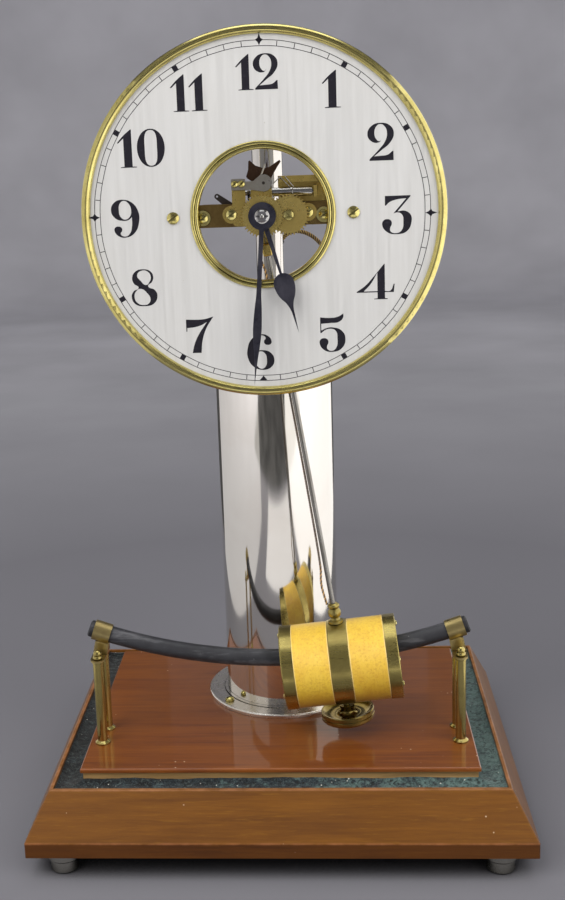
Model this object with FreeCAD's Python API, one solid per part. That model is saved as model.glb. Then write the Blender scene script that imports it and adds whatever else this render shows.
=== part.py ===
import FreeCAD, Part
import math
import os

# Electromagnetic pendulum clock: mahogany base, nickel battery column,
# curved bar magnet, solenoid bob, and a round dial with an open centre.
# The origin is on the table under the middle of the base, +Z is up and the
# dial faces -Y. All sizes are in millimetres and all angles in degrees.

V = FreeCAD.Vector
X_AXIS = V(1, 0, 0)
Y_AXIS = V(0, 1, 0)
Z_AXIS = V(0, 0, 1)
FRONT = V(0, -1, 0)

# Base
PLINTH_W, PLINTH_D = 217.0, 175.0
RIM_W, RIM_D = 197.0, 155.0
RIM_WALL = 1.5
FOOT_H = 10.5
FOOT_INSET_X, FOOT_INSET_Y = 14.8, 10.2
BAND_H = 6.6
RIM_Z = FOOT_H + 26.3
GROOVE_DEPTH = 4.6
FELT_H = 4.3
BOARD_W, BOARD_D = 174.0, 132.0
BOARD_Z = FOOT_H + 30.0
BOARD_LIP = 1.8
BOARD_INSET = 1.2

# Column that holds the dry cell
COLUMN_Y = 18.5
COLUMN_R = 27.3
COLUMN_WALL = 0.8
COLUMN_TOP = 222.0
FLANGE_R = 36.5
FLANGE_T = 2.0
FLANGE_SCREW_R = 32.2
FLANGE_SCREW_AT = (218.0, 338.0, 98.0)
NECK_R = 6.2
SLEEVE_R = 6.9
SLEEVE_LOW = 287.0
NECK_TOP = 310.5
BUSH_LENGTH = 3.4
CELL_R = 25.4
CELL_LOW, CELL_TOP = FOOT_H - 0.1, 190.0

# Magnet and its posts
SWING_Y = -33.5
MAGNET_R = 3.8
CLAMP_X = 79.2
CLAMP_Z = 91.4
MAGNET_SAG = 13.3
MAGNET_OVERHANG = 6.0
POST_X = 80.8
POST_OFFSET = 7.2
POST_TOP = 80.4
POST_R = 2.3
SADDLE_T = 0.8
SADDLE_W = 7.8

# Dial
DIAL_Z = 275.5
DIAL_Y = -42.0
DIAL_T = 0.8
DIAL_R = 73.2
BEZEL_R = 75.0
BEZEL_IN = 71.3
WINDOW_R = 26.4
WINDOW_OUT = 29.9
DIAL_HOLE_R = 28.4
DIAL_SCREW_X = 37.0
DIAL_BACK = DIAL_Y + DIAL_T

# Movement frame, front to back
PLATE_FRONT, PLATE_BACK = -43.5, -42.2
BAR_FRONT, BAR_BACK = -37.9, -36.1
BAR_HALF = 41.5
BAR_H = 9.4
ARM_X = 25.0
ARM_Z = DIAL_Z - 0.7
ARM_R = 2.5
LUG_LEFT, LUG_RIGHT, LUG_Z = -12.8, 18.5, DIAL_Z + 0.7
LUG_R = 3.6
BRACKET_T = 1.0

# Going train and motion work
WORM_TEETH = 64
WORM_WHEEL_R = 7.5
WORM_R = 1.5
WORM_TURNS = 7
WORM_Y = -40.0
WORM_Z = DIAL_Z + WORM_WHEEL_R + WORM_R
RATCHET_TEETH = 64
RATCHET_R = 3.0
RATCHET_X = -5.6
MOTION_DISTANCE = 10.7
CANNON_TEETH, MINUTE_TEETH = 12, 36
PINION_TEETH, HOUR_TEETH = 10, 40
ARBOR_R = 0.85
HOUR_PIPE_R = 2.4
CANNON_FRONT = -45.5
MINUTE_WHEEL_FRONT = -45.4
HOUR_WHEEL_FRONT = -46.5
WHEEL_T = 0.7
HOUR_HAND_FRONT = -48.0
MINUTE_HAND_FRONT = -49.5
RUN = 0.05

# Fork and crutch
FORK_X, FORK_Z = 0.8, DIAL_Z + 13.0
FORK_ARBOR_R = 0.6
CRUTCH_LEAN = 9.6

# Hands, clockwise from twelve
HOUR_ANGLE = 163.8
MINUTE_ANGLE = 184.3
HOUR_REACH = 50.0
MINUTE_REACH = 69.7

# Pendulum, at the swing the clock rests in
PIVOT_Z = DIAL_Z - 8.8
SWING = 8.75
SPRING_T = 0.16
ROD_R = 1.1
ROD_LEAD_R = 0.65
ROD_LENGTH = 169.4
COIL_BELOW_NUT = 23.5
COIL_LEAN = 6.1
COIL_R = 18.8
COIL_HALF = 26.0
COIL_BAND_HALF = 4.4
COIL_CAP_W = 5.4
COIL_BORE_R = 11.0
BOBBIN_WALL = 0.8
NUT_BELOW_COIL = 21.6
NUT_R = 12.0


def box(x0, x1, y0, y1, z0, z1):
    return Part.makeBox(x1 - x0, y1 - y0, z1 - z0, V(x0, y0, z0))


def rod(radius, start, end):
    run = end - start
    return Part.makeCylinder(radius, run.Length, start, run)


def wire_of(points, place):
    """Closed wire. A step of two numbers is a line's end, and one of four
    is an arc: a point that it passes through, then its end."""
    edges = []
    here = points[0]
    for step in list(points[1:]) + [points[0]]:
        end = step[-2:]
        if len(step) == 4:
            arc = Part.Arc(place(*here), place(*step[:2]), place(*end))
            edges.append(arc.toShape())
        elif math.dist(here, end) > 1e-6:
            edges.append(Part.LineSegment(place(*here), place(*end)).toShape())
        here = end
    return Part.Wire(edges)


def turned(profile, base=V(0, 0, 0), axis=Z_AXIS):
    """Solid of revolution. The profile is (radius, height) along axis."""
    face = Part.Face(wire_of(profile, lambda r, h: V(r, 0, h)))
    body = face.revolve(V(0, 0, 0), Z_AXIS, 360)
    body.Placement = FreeCAD.Placement(base, FreeCAD.Rotation(Z_AXIS, axis))
    return body


def plate(points, front, back, x=0.0, z=0.0):
    """Flat piece parallel to the dial: outline (x, z) between two depths."""
    face = Part.Face(wire_of(points, lambda a, b: V(x + a, back, z + b)))
    return face.extrude(V(0, front - back, 0))


def disc(radius, front, back, x=0.0, z=DIAL_Z, bore=0.0):
    body = rod(radius, V(x, back, z), V(x, front, z))
    if bore:
        body = body.cut(rod(bore, V(x, back + 1, z), V(x, front - 1, z)))
    return body


def dome(radius, low, high):
    """Arc step that closes a profile on its axis with part of a ball."""
    half = 2 * math.atan2(high - low, radius)
    ball = radius / math.sin(half)
    return ball * math.sin(half / 2), high - ball * (1 - math.cos(half / 2)), 0, high


def joined(shapes):
    body = shapes[0]
    for shape in shapes[1:]:
        body = body.fuse(shape)
    return body.removeSplitter()


def drilled(body, cutters):
    for cutter in cutters:
        body = body.cut(cutter)
    return body


def turn_about(shape, x, z, angle):
    """Copy turned about a line along +Y through (x, z)."""
    copy = shape.copy()
    copy.rotate(V(x, 0, z), Y_AXIS, angle)
    return copy


def screw(base, axis, head_r, head_h, shank_r, shank, washer=0.0, turn=35.0):
    """Slotted dome-headed screw; base is where the head or washer seats."""
    seat = 0.6 if washer else 0.0
    profile = [(0, -shank), (shank_r, -shank), (shank_r, 0)]
    if washer:
        profile += [(washer, 0), (washer, seat), (head_r, seat)]
    else:
        profile += [(head_r, 0)]
    shoulder, top = seat + 0.45 * head_h, seat + head_h
    profile += [(head_r, shoulder), dome(head_r, shoulder, top)]
    body = turned(profile)
    half = max(0.13 * head_r, 0.2)
    slot = box(-head_r, head_r, -half, half, seat + 0.35 * head_h, top + 1)
    slot.rotate(V(0, 0, 0), Z_AXIS, turn)
    body = body.cut(slot)
    body.Placement = FreeCAD.Placement(base, FreeCAD.Rotation(Z_AXIS, axis))
    return body


def gear(teeth, module, front, back, x, z, bore, start=0.0):
    """Spur gear with straight-sided teeth; start is one tooth's angle."""
    pitch_r = 0.5 * teeth * module
    step = 2 * math.pi / teeth
    corners = [(-0.285, -1.2), (-0.115, 0.95), (0.115, 0.95), (0.285, -1.2)]
    points = []
    for tooth in range(teeth):
        for share, rise in corners:
            angle = math.radians(start) + (tooth + share) * step
            radius = pitch_r + rise * module
            points.append((radius * math.cos(angle), radius * math.sin(angle)))
    body = plate(points, front, back, x, z)
    return body.cut(rod(bore, V(x, back + 1, z), V(x, front - 1, z)))


def lead(points, radius):
    """Round lead along straight runs joined by tangent arcs."""
    edges = []
    here = points[0]
    for before, corner, after in zip(points, points[1:], points[2:]):
        into = (corner - before).normalize()
        out = (after - corner).normalize()
        reach = 0.45 * min(before.distanceToPoint(corner), corner.distanceToPoint(after))
        half = 0.5 * into.getAngle(out)
        bend = reach / math.tan(half)
        start = corner - into * reach
        end = corner + out * reach
        middle = corner + (out - into).normalize() * (bend / math.cos(half) - bend)
        edges.append(Part.LineSegment(here, start).toShape())
        edges.append(Part.Arc(start, middle, end).toShape())
        print("lead bend radius", round(bend, 1))
        here = end
    edges.append(Part.LineSegment(here, points[-1]).toShape())
    path = Part.Wire(edges)
    first = (points[1] - points[0]).normalize()
    ring = Part.Wire(Part.makeCircle(radius, points[0], first))
    body = path.makePipeShell([ring], True, False)
    print("lead length", round(path.Length, 1), "volume share",
          round(body.Volume / (math.pi * radius ** 2 * path.Length), 3))
    return body


def rectangle(width, depth, z):
    return Part.makePolygon([V(-width / 2, -depth / 2, z), V(width / 2, -depth / 2, z),
                             V(width / 2, depth / 2, z), V(-width / 2, depth / 2, z),
                             V(-width / 2, -depth / 2, z)])


# Base

def make_base():
    band = box(-PLINTH_W / 2, PLINTH_W / 2, -PLINTH_D / 2, PLINTH_D / 2,
               FOOT_H, FOOT_H + BAND_H)
    slope = Part.makeLoft([rectangle(PLINTH_W, PLINTH_D, FOOT_H + BAND_H),
                           rectangle(RIM_W, RIM_D, RIM_Z)], True, True)
    body = joined([band, slope])
    edges = [e for e in body.Edges if e.BoundBox.ZMax > FOOT_H + 0.1]
    body = body.makeFillet(0.7, edges)
    groove_w, groove_d = RIM_W - 2 * RIM_WALL, RIM_D - 2 * RIM_WALL
    floor = RIM_Z - GROOVE_DEPTH
    body = body.cut(box(-groove_w / 2, groove_w / 2, -groove_d / 2, groove_d / 2,
                        floor, RIM_Z + 1))
    well = Part.makeCylinder(COLUMN_R, 60, V(0, COLUMN_Y, 0))
    plinth = body.cut(well)

    upper = box(-BOARD_W / 2, BOARD_W / 2, -BOARD_D / 2, BOARD_D / 2,
                BOARD_Z - BOARD_LIP, BOARD_Z)
    upper = upper.makeFillet(0.8, [e for e in upper.Edges
                                   if e.BoundBox.ZMax > BOARD_Z - 0.1])
    lower = box(-BOARD_W / 2 + BOARD_INSET, BOARD_W / 2 - BOARD_INSET,
                -BOARD_D / 2 + BOARD_INSET, BOARD_D / 2 - BOARD_INSET, floor, BOARD_Z - BOARD_LIP)
    bore = Part.makeCylinder(COLUMN_R - COLUMN_WALL, 60, V(0, COLUMN_Y, 0))
    board = joined([upper, lower]).cut(bore)

    felt = box(-groove_w / 2, groove_w / 2, -groove_d / 2, groove_d / 2,
               floor, floor + FELT_H)
    felt = felt.cut(box(-BOARD_W / 2 + BOARD_INSET, BOARD_W / 2 - BOARD_INSET,
                        -BOARD_D / 2 + BOARD_INSET, BOARD_D / 2 - BOARD_INSET, floor - 1, RIM_Z + 1))
    top = [e for e in felt.Edges if e.BoundBox.ZMin > floor + FELT_H - 0.1]
    felt = felt.makeFillet(1.2, top)

    profile = [(0, 0), (5.2, 0), (6.1, 0.9), (6.1, 5.8), (6.6, 5.8), (7.2, 6.4),
               (7.2, FOOT_H - 0.5), (6.7, FOOT_H), (0, FOOT_H)]
    foot_x = PLINTH_W / 2 - FOOT_INSET_X
    foot_y = PLINTH_D / 2 - FOOT_INSET_Y
    feet = [turned(profile, V(sx * foot_x, sy * foot_y, 0))
            for sx in (-1, 1) for sy in (-1, 1)]
    return plinth, board, felt, feet


# Battery strap under the base

STRAP_REACH = 34.0
STRAP_T = 1.4
STRAP_Z = CELL_LOW - STRAP_T
STRAP_SCREW_R = 2.0


def make_strap():
    half = 6.0
    y = COLUMN_Y
    outline = [(-STRAP_REACH, -half), (STRAP_REACH, -half),
               (STRAP_REACH + half, 0, STRAP_REACH, half), (-STRAP_REACH, half),
               (-STRAP_REACH - half, 0, -STRAP_REACH, -half)]
    face = Part.Face(wire_of(outline, lambda a, b: V(a, y + b, STRAP_Z)))
    body = face.extrude(V(0, 0, STRAP_T))
    hole_r = STRAP_SCREW_R + RUN
    pivot = V(STRAP_REACH, y, STRAP_Z - 1)
    latch = V(-STRAP_REACH, y, STRAP_Z - 1)
    body = body.cut(Part.makeCylinder(hole_r, 4, pivot))
    body = body.cut(Part.makeCylinder(hole_r + 0.3, 4, latch))
    body = body.cut(box(-STRAP_REACH - hole_r - 0.3, -STRAP_REACH + hole_r + 0.3,
                        y - half - 1, y, STRAP_Z - 1, STRAP_Z + 3))
    screws = [screw(V(sx * STRAP_REACH, y, STRAP_Z - 0.2), V(0, 0, -1),
                    4.0, 1.8, STRAP_SCREW_R, 14.0) for sx in (-1, 1)]
    return body, screws


# Column, neck and cell

def make_column():
    inner = COLUMN_R - COLUMN_WALL
    foot = BOARD_Z
    tube = turned([(inner, foot), (COLUMN_R, foot), (COLUMN_R, COLUMN_TOP),
                   (inner, COLUMN_TOP)], V(0, COLUMN_Y, 0))
    rim = FLANGE_R
    seam = COLUMN_R + 1.6
    flange = turned([(COLUMN_R, 0), (rim, 0), (rim, FLANGE_T - 0.7),
                     (rim - 0.2, FLANGE_T - 0.2, rim - 0.7, FLANGE_T),
                     (seam + 0.4, FLANGE_T), (seam + 0.4, FLANGE_T - 0.5),
                     (seam, FLANGE_T - 0.5), (seam, FLANGE_T + 0.4),
                     (COLUMN_R, FLANGE_T + 0.4)], V(0, COLUMN_Y, BOARD_Z))
    screws = []
    for angle in FLANGE_SCREW_AT:
        turn = math.radians(angle)
        place = V(FLANGE_SCREW_R * math.cos(turn),
                  COLUMN_Y + FLANGE_SCREW_R * math.sin(turn), BOARD_Z + FLANGE_T)
        screws.append(screw(place, Z_AXIS, 2.1, 1.9, 1.0, 7.0))
    top = COLUMN_TOP
    shoulder = turned([(inner, top), (COLUMN_R + 0.5, top), (COLUMN_R + 0.5, top + 2.2),
                       (COLUMN_R - 0.4, top + 2.9),
                       (19.6, top + 8.4, 10.2, top + 10.6), (9.2, top + 11.2),
                       (9.2, top + 14.6), (8.4, top + 15.4), (NECK_R, top + 15.4),
                       (NECK_R, top + 9.8), (9.4, top + 9.8), (18.9, top + 7.6, inner, top)],
                      V(0, COLUMN_Y, 0))
    hollow = NECK_R - 1.0
    neck = turned([(hollow, top + 9.8), (NECK_R, top + 9.8), (NECK_R, SLEEVE_LOW),
                   (SLEEVE_R, SLEEVE_LOW), (SLEEVE_R, NECK_TOP),
                   dome(SLEEVE_R, NECK_TOP, NECK_TOP + 4.0),
                   (0, NECK_TOP + 1.0), (hollow, NECK_TOP + 1.0)], V(0, COLUMN_Y, 0))
    cell = turned([(0, CELL_LOW), (CELL_R - 1, CELL_LOW), (CELL_R, CELL_LOW + 1),
                   (CELL_R, CELL_TOP - 1.5), (CELL_R - 1.5, CELL_TOP), (7.0, CELL_TOP),
                   (7.0, CELL_TOP + 3.4), (6.4, CELL_TOP + 4.0), (0, CELL_TOP + 4.0)],
                  V(0, COLUMN_Y, 0))
    contact = turned([(0, CELL_TOP + 4.0), (3.0, CELL_TOP + 4.0), (3.0, CELL_TOP + 13.0),
                      (inner, CELL_TOP + 13.0), (inner, CELL_TOP + 15.5),
                      (4.0, CELL_TOP + 15.5), (4.0, CELL_TOP + 19.0), (0, CELL_TOP + 19.0)],
                     V(0, COLUMN_Y, 0))
    return tube, flange, screws, shoulder, neck, cell, contact


def make_yoke():
    low, high = ARM_Z - 4.6, ARM_Z + 3.4
    ring_r = NECK_R + 3.6
    back = COLUMN_Y + ring_r
    front = COLUMN_Y - ring_r - 0.6
    ring = Part.makeCylinder(ring_r, high - low, V(0, COLUMN_Y, low))
    cross = box(-ARM_X - 4.5, ARM_X + 4.5, front, front + 4.0, low, high)
    cross = cross.makeFillet(1.5, [e for e in cross.Edges
                                   if abs(e.BoundBox.ZLength) > 5])
    web = box(-NECK_R - 1, NECK_R + 1, front + 1, COLUMN_Y, low, high)
    ears = box(-4.2, 4.2, COLUMN_Y + NECK_R + 1, back + 6.0, low, high)
    body = joined([ring, cross, web, ears])
    body = body.cut(Part.makeCylinder(NECK_R, 20, V(0, COLUMN_Y, low - 1)))
    body = body.cut(box(-0.6, 0.6, COLUMN_Y, back + 8, low - 1, high + 1))
    clamp = screw(V(4.2, back + 3.0, ARM_Z - 0.6), X_AXIS, 2.4, 1.6, 1.2, 8.4)
    arms = []
    for side in (-1, 1):
        start = BAR_BACK + BRACKET_T if side > 0 else BAR_BACK
        end = V(side * ARM_X, start, ARM_Z)
        length = front - start
        arms.append(turned([(0, 0), (ARM_R + 0.9, 0), (ARM_R + 0.9, 1.6), (ARM_R, 2.2),
                            (ARM_R, length - 2.2), (ARM_R + 0.9, length - 1.6),
                            (ARM_R + 0.9, length), (0, length)], end, Y_AXIS))
    return body.cut(clamp), clamp, arms


# Magnet, saddles and posts

def arc_radius():
    return (CLAMP_X ** 2 + MAGNET_SAG ** 2) / (2 * MAGNET_SAG)


def make_magnet():
    radius = arc_radius()
    centre = V(0, SWING_Y, CLAMP_Z - MAGNET_SAG + radius)
    half = math.degrees(math.asin(CLAMP_X / radius))
    half += math.degrees(MAGNET_OVERHANG / radius)
    low = V(0, SWING_Y, centre.z - radius)
    face = Part.Face(Part.Wire(Part.makeCircle(MAGNET_R, low, X_AXIS)))
    face.rotate(centre, Y_AXIS, -half)
    bar = face.revolve(centre, Y_AXIS, 2 * half)
    ends = [e for e in bar.Edges if abs(e.Length - 2 * math.pi * MAGNET_R) < 0.1]
    return bar.makeChamfer(0.6, ends)


def make_saddle(side, magnet):
    """Band round the magnet, pinched in below it and turned out over the
    two posts as a flat foot."""
    slope = math.degrees(math.asin(CLAMP_X / arc_radius()))
    x = side * CLAMP_X
    half = SADDLE_W / 2
    band = Part.makeCylinder(MAGNET_R + SADDLE_T, SADDLE_W,
                             V(x - half, SWING_Y, CLAMP_Z), X_AXIS)
    band.rotate(V(x, 0, CLAMP_Z), Y_AXIS, -side * slope)
    foot_x = side * POST_X
    low, width, pinch = POST_TOP, 3.2, 2.0
    high = CLAMP_Z - MAGNET_R
    outline = [(foot_x - width, low), (foot_x + width, low), (x + width, high),
               (x - width, high)]
    neck = plate(outline, SWING_Y - pinch, SWING_Y + pinch)
    foot = box(foot_x - width, foot_x + width, SWING_Y - POST_OFFSET,
               SWING_Y + POST_OFFSET, low, low + SADDLE_T)
    ends = [Part.makeCylinder(width, SADDLE_T, V(foot_x, SWING_Y + way * POST_OFFSET, low))
            for way in (-1, 1)]
    saddle = joined([band, neck, foot] + ends).cut(magnet)
    studs = [Part.makeCylinder(1.2, 4, V(foot_x, SWING_Y + way * POST_OFFSET, low - 1))
             for way in (-1, 1)]
    return drilled(saddle, studs)


def make_posts():
    posts, finials = [], []
    height = POST_TOP - BOARD_Z
    shaft = [(0, 0), (3.4, 0), (3.4, 0.7), (2.8, 1.2), (POST_R, 1.6),
             (POST_R, height - 1.0), (POST_R + 0.3, height - 0.8), (POST_R + 0.3, height),
             (1.2, height), (1.2, height + 2.6), (0, height + 2.6)]
    cap_low = POST_TOP + SADDLE_T
    cap = [(0, 1.8), (1.2, 1.8), (1.2, 0), (1.8, 0), (2.15, 0.9, 1.5, 1.8),
           (1.85, 2.3), (1.85, 2.9), dome(1.85, 2.9, 4.3)]
    for sx in (-1, 1):
        for sy in (-1, 1):
            place = V(sx * POST_X, SWING_Y + sy * POST_OFFSET, BOARD_Z)
            posts.append(turned(shaft, place))
            finials.append(turned(cap, V(place.x, place.y, cap_low)))
    return posts, finials


# Dial, bezel and window ring

def make_dial():
    face = disc(DIAL_R, DIAL_Y, DIAL_BACK, bore=DIAL_HOLE_R)
    centre = V(0, DIAL_Y, DIAL_Z)
    bezel = turned([(BEZEL_IN, 0), (BEZEL_IN + 0.5, 1.5, BEZEL_IN + 1.8, 2.2),
                    (BEZEL_R - 0.5, 1.6, BEZEL_R, 0.2), (BEZEL_R, -3.4),
                    (DIAL_R + 0.9, -3.4), (DIAL_R + 0.9, -0.8), (DIAL_R, -0.8),
                    (DIAL_R, 0)], centre, FRONT)
    ring = turned([(DIAL_HOLE_R - 0.1, -1.7), (DIAL_HOLE_R, 0), (WINDOW_OUT, 0),
                   (WINDOW_OUT - 0.4, 0.9, WINDOW_OUT - 1.5, 0.9),
                   (WINDOW_OUT - 1.7, 0.45), (WINDOW_OUT - 2.6, 0.95, WINDOW_R + 0.1, 0.1),
                   (WINDOW_R, -1.7)], centre, FRONT)
    screws, pillars = [], []
    for side in (-1, 1):
        x = side * DIAL_SCREW_X
        screws.append(screw(V(x, DIAL_Y, DIAL_Z), FRONT, 2.5, 1.3, 1.3, 5.4))
        pillars.append(disc(3.2, DIAL_BACK, BAR_FRONT, x))
    return face, bezel, ring, screws, pillars


# Movement frame

def make_bar():
    half = BAR_H / 2
    outline = [(-BAR_HALF + half, -half), (BAR_HALF - half, -half),
               (BAR_HALF, 0, BAR_HALF - half, half), (-BAR_HALF + half, half),
               (-BAR_HALF, 0, -BAR_HALF + half, -half)]
    body = plate(outline, BAR_FRONT, BAR_BACK, 0, DIAL_Z)
    tab = box(FORK_X - 3.0, FORK_X + 3.0, BAR_FRONT, BAR_BACK, DIAL_Z, FORK_Z)
    head = disc(3.0, BAR_FRONT, BAR_BACK, FORK_X, FORK_Z)
    body = joined([body, tab, head])
    body = body.cut(disc(0.7 + RUN, BAR_FRONT - 1, BAR_BACK + 1))
    return body.cut(disc(FORK_ARBOR_R + RUN, BAR_FRONT - 1, BAR_BACK + 1, FORK_X, FORK_Z))


def make_front_plate():
    left, right = LUG_LEFT, LUG_RIGHT
    lugs = [disc(LUG_R, PLATE_FRONT, PLATE_BACK, x, LUG_Z) for x in (left, right)]
    strip = box(left, right, PLATE_FRONT, PLATE_BACK, LUG_Z - LUG_R, LUG_Z + LUG_R)
    main = box(-12.3, 4.0, PLATE_FRONT, PLATE_BACK, DIAL_Z - 4.2, DIAL_Z + 10.6)
    main = main.makeFillet(2.0, [e for e in main.Edges if abs(e.BoundBox.YLength) > 1
                                 and e.BoundBox.ZMax < DIAL_Z])
    shelf_end = -6.8
    shelf = box(-12.3, shelf_end, PLATE_FRONT, PLATE_BACK, DIAL_Z, DIAL_Z + 14.8)
    tab = box(-8.8, -7.4, PLATE_BACK - 0.1, WORM_Y + 1.7, WORM_Z - 2.1, WORM_Z + 2.1)
    body = joined(lugs + [strip, main, shelf, tab])
    slot = box(shelf_end, RATCHET_X + 1.0, PLATE_FRONT - 1, PLATE_BACK + 1,
               WORM_Z - RATCHET_R - 0.6, DIAL_Z + 16)
    body = drilled(body, [slot, disc(1.0 + RUN, PLATE_FRONT - 1, PLATE_BACK + 1)])
    return body.cut(rod(0.5 + RUN, V(-10, WORM_Y, WORM_Z), V(-7, WORM_Y, WORM_Z)))


def make_worm_bracket():
    low, high = DIAL_Z - 4.6, DIAL_Z + 15.4
    left, right = 6.4, 28.6
    back = BAR_BACK + BRACKET_T
    leaf = box(left, right, BAR_BACK, back, low, high)
    corners = [e for e in leaf.Edges if e.BoundBox.YLength > 0.5]
    leaf = leaf.makeFillet(1.6, [e for e in corners if e.BoundBox.XMin > right - 1])
    tab = box(21.0, 22.4, WORM_Y - 2.0, back, WORM_Z - 2.4, WORM_Z + 2.4)
    rib = box(left + 0.6, right - 4.0, WORM_Y - 0.2, back, high - 2.6, high)
    body = joined([leaf, tab, rib])
    body = body.cut(rod(0.5 + RUN, V(20, WORM_Y, WORM_Z), V(23, WORM_Y, WORM_Z)))
    touch_z = WORM_Z + 1.8 + 0.25
    depth = WORM_Y - 0.4
    springs = []
    for x, reach in ((7.4, 3.9), (9.6, 3.2)):
        top = V(x, depth, high - 0.3)
        springs.append(rod(0.2, top, V(x + reach, depth, touch_z)))
    tail = rod(0.2, V(4.6, depth, high - 3.0), V(7.4, depth, high - 0.3))
    return body, [joined([springs[0], tail]), springs[1]]


def make_cock():
    x, z = FORK_X, FORK_Z - DIAL_Z
    end_r = 3.4
    outline = [(-12.4, 10.8), (-12.1, 10.5), (-4.0, 10.4), (x, z - end_r),
               (x + end_r, z, x + 0.6, z + end_r), (x - 1.4, z + end_r - 0.3),
               (-3.4, 13.9), (-6.4, 13.8), (-7.6, 15.0), (-12.0, 15.0), (-12.4, 14.6)]
    body = plate(outline, PLATE_FRONT - 1.0, PLATE_FRONT, 0, DIAL_Z)
    body = body.cut(disc(FORK_ARBOR_R + RUN, PLATE_FRONT - 2, PLATE_FRONT + 1, x, FORK_Z))
    pin = rod(0.35, V(-0.3, PLATE_FRONT - 0.5, DIAL_Z + 15.4),
              V(1.6, PLATE_FRONT - 0.5, DIAL_Z + 20.4))
    return joined([body, pin])


def make_plate_screws():
    posts = [disc(2.2, PLATE_BACK, BAR_FRONT, x, LUG_Z) for x in (LUG_LEFT, LUG_RIGHT)]
    screws = [screw(V(x, PLATE_FRONT, LUG_Z), FRONT, 2.1, 0.9, 1.0, 7.0)
              for x in (LUG_LEFT, LUG_RIGHT)]
    screws += [screw(V(x, PLATE_FRONT - 1.0, DIAL_Z + 12.9), FRONT, 1.35, 0.9, 0.6, 2.2)
               for x in (-11.0, -8.2)]
    screws += [screw(V(x, BAR_FRONT, DIAL_Z - 2.6), FRONT, 1.5, 0.8, 0.8, 5.0)
               for x in (-2.9, 2.9)]
    return posts, screws


def make_bar_screws():
    return [screw(V(x, BAR_FRONT, ARM_Z), FRONT, 2.1, 1.2, 1.2, 9.0, washer=3.2)
            for x in (-ARM_X, ARM_X)]


# Wheels and arbors

def make_centre_work():
    arbor = turned([(0, 0), (0.7, 0), (0.7, 1.6), (1.0, 1.6), (1.0, 7.2), (ARBOR_R, 7.2),
                    (ARBOR_R, 14.9), (0.5, 15.2), (0, 15.2)],
                   V(0, BAR_BACK - 0.2, DIAL_Z), FRONT)
    module = 2 * WORM_WHEEL_R / WORM_TEETH
    wheel = gear(WORM_TEETH, module, WORM_Y - 0.6, WORM_Y + 0.6, 0, DIAL_Z, 1.0)
    windows = [disc(1.5, WORM_Y - 1, WORM_Y + 1, 4.4 * math.cos(turn),
                    DIAL_Z + 4.4 * math.sin(turn))
               for turn in (math.radians(60 * k) for k in range(6))]
    wheel = drilled(wheel, windows)
    module = 2 * MOTION_DISTANCE / (CANNON_TEETH + MINUTE_TEETH)
    foot = PLATE_FRONT - 0.2
    cannon = gear(CANNON_TEETH, module, CANNON_FRONT, foot, 0, DIAL_Z, ARBOR_R)
    pipe = disc(1.5, MINUTE_HAND_FRONT, foot, bore=ARBOR_R)
    cannon = joined([cannon, pipe])
    return arbor, wheel, cannon


def make_motion_wheels():
    module = 2 * MOTION_DISTANCE / (CANNON_TEETH + MINUTE_TEETH)
    x = MOTION_DISTANCE
    bore = 1.0 + RUN
    middle = MINUTE_WHEEL_FRONT
    wheel = gear(MINUTE_TEETH, module, middle, middle + WHEEL_T, x, DIAL_Z, bore,
                 start=180.0 / MINUTE_TEETH)
    module = 2 * MOTION_DISTANCE / (PINION_TEETH + HOUR_TEETH)
    front = HOUR_WHEEL_FRONT - 0.1
    pinion = gear(PINION_TEETH, module, front, middle, x, DIAL_Z, bore,
                  start=180.0 / PINION_TEETH)
    minute = joined([wheel, pinion])
    back = HOUR_WHEEL_FRONT + WHEEL_T
    hour = gear(HOUR_TEETH, module, HOUR_WHEEL_FRONT, back, 0, DIAL_Z, 1.5 + RUN)
    pipe = disc(HOUR_PIPE_R, HOUR_HAND_FRONT, back, bore=1.5 + RUN)
    hour = joined([hour, pipe])
    seat = PLATE_BACK - 0.9
    end = seat - front + 0.05
    stud = turned([(0, 0), (1.0, 0), (1.0, end), (2.0, end), (2.0, end + 0.2),
                   dome(2.0, end + 0.2, end + 0.5)], V(x, seat, DIAL_Z), FRONT)
    slot = box(-2, 2, seat - end - 1, seat - end - 0.2, -0.25, 0.25)
    slot.rotate(V(0, 0, 0), Y_AXIS, 40)
    slot.translate(V(x, 0, DIAL_Z))
    return minute, hour, stud.cut(slot)


def make_worm():
    pitch = math.pi * 2 * WORM_WHEEL_R / WORM_TEETH
    length = WORM_TURNS * pitch
    root, crest = WORM_R - 0.28, WORM_R + 0.2
    side = length / 2 + 0.5
    profile = [(0, -8.9), (0.5, -8.9), (0.5, -7.35), (1.0, -7.35), (1.0, -side),
               (root, -side), (root, side), (1.0, side), (1.0, 4.2), (1.8, 4.2),
               (1.8, 11.4), (2.1, 11.6), (2.1, 12.4), (1.8, 12.6), (1.8, 20.3),
               (1.0, 20.3), (1.0, 20.7), (0.5, 20.7), (0.5, 22.3), (0, 22.3)]
    arbor = turned(profile, V(0, WORM_Y, WORM_Z), X_AXIS)
    helix = Part.makeHelix(pitch, length, root)
    thread = Part.makePolygon([V(root - 0.1, 0, -0.17), V(crest, 0, -0.07),
                               V(crest, 0, 0.07), V(root - 0.1, 0, 0.17),
                               V(root - 0.1, 0, -0.17)])
    sweep = Part.Wire(helix).makePipeShell([thread], True, True)
    start = V(-length / 2, WORM_Y, WORM_Z)
    sweep.Placement = FreeCAD.Placement(start, FreeCAD.Rotation(Z_AXIS, X_AXIS))
    return arbor.fuse(sweep)


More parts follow.
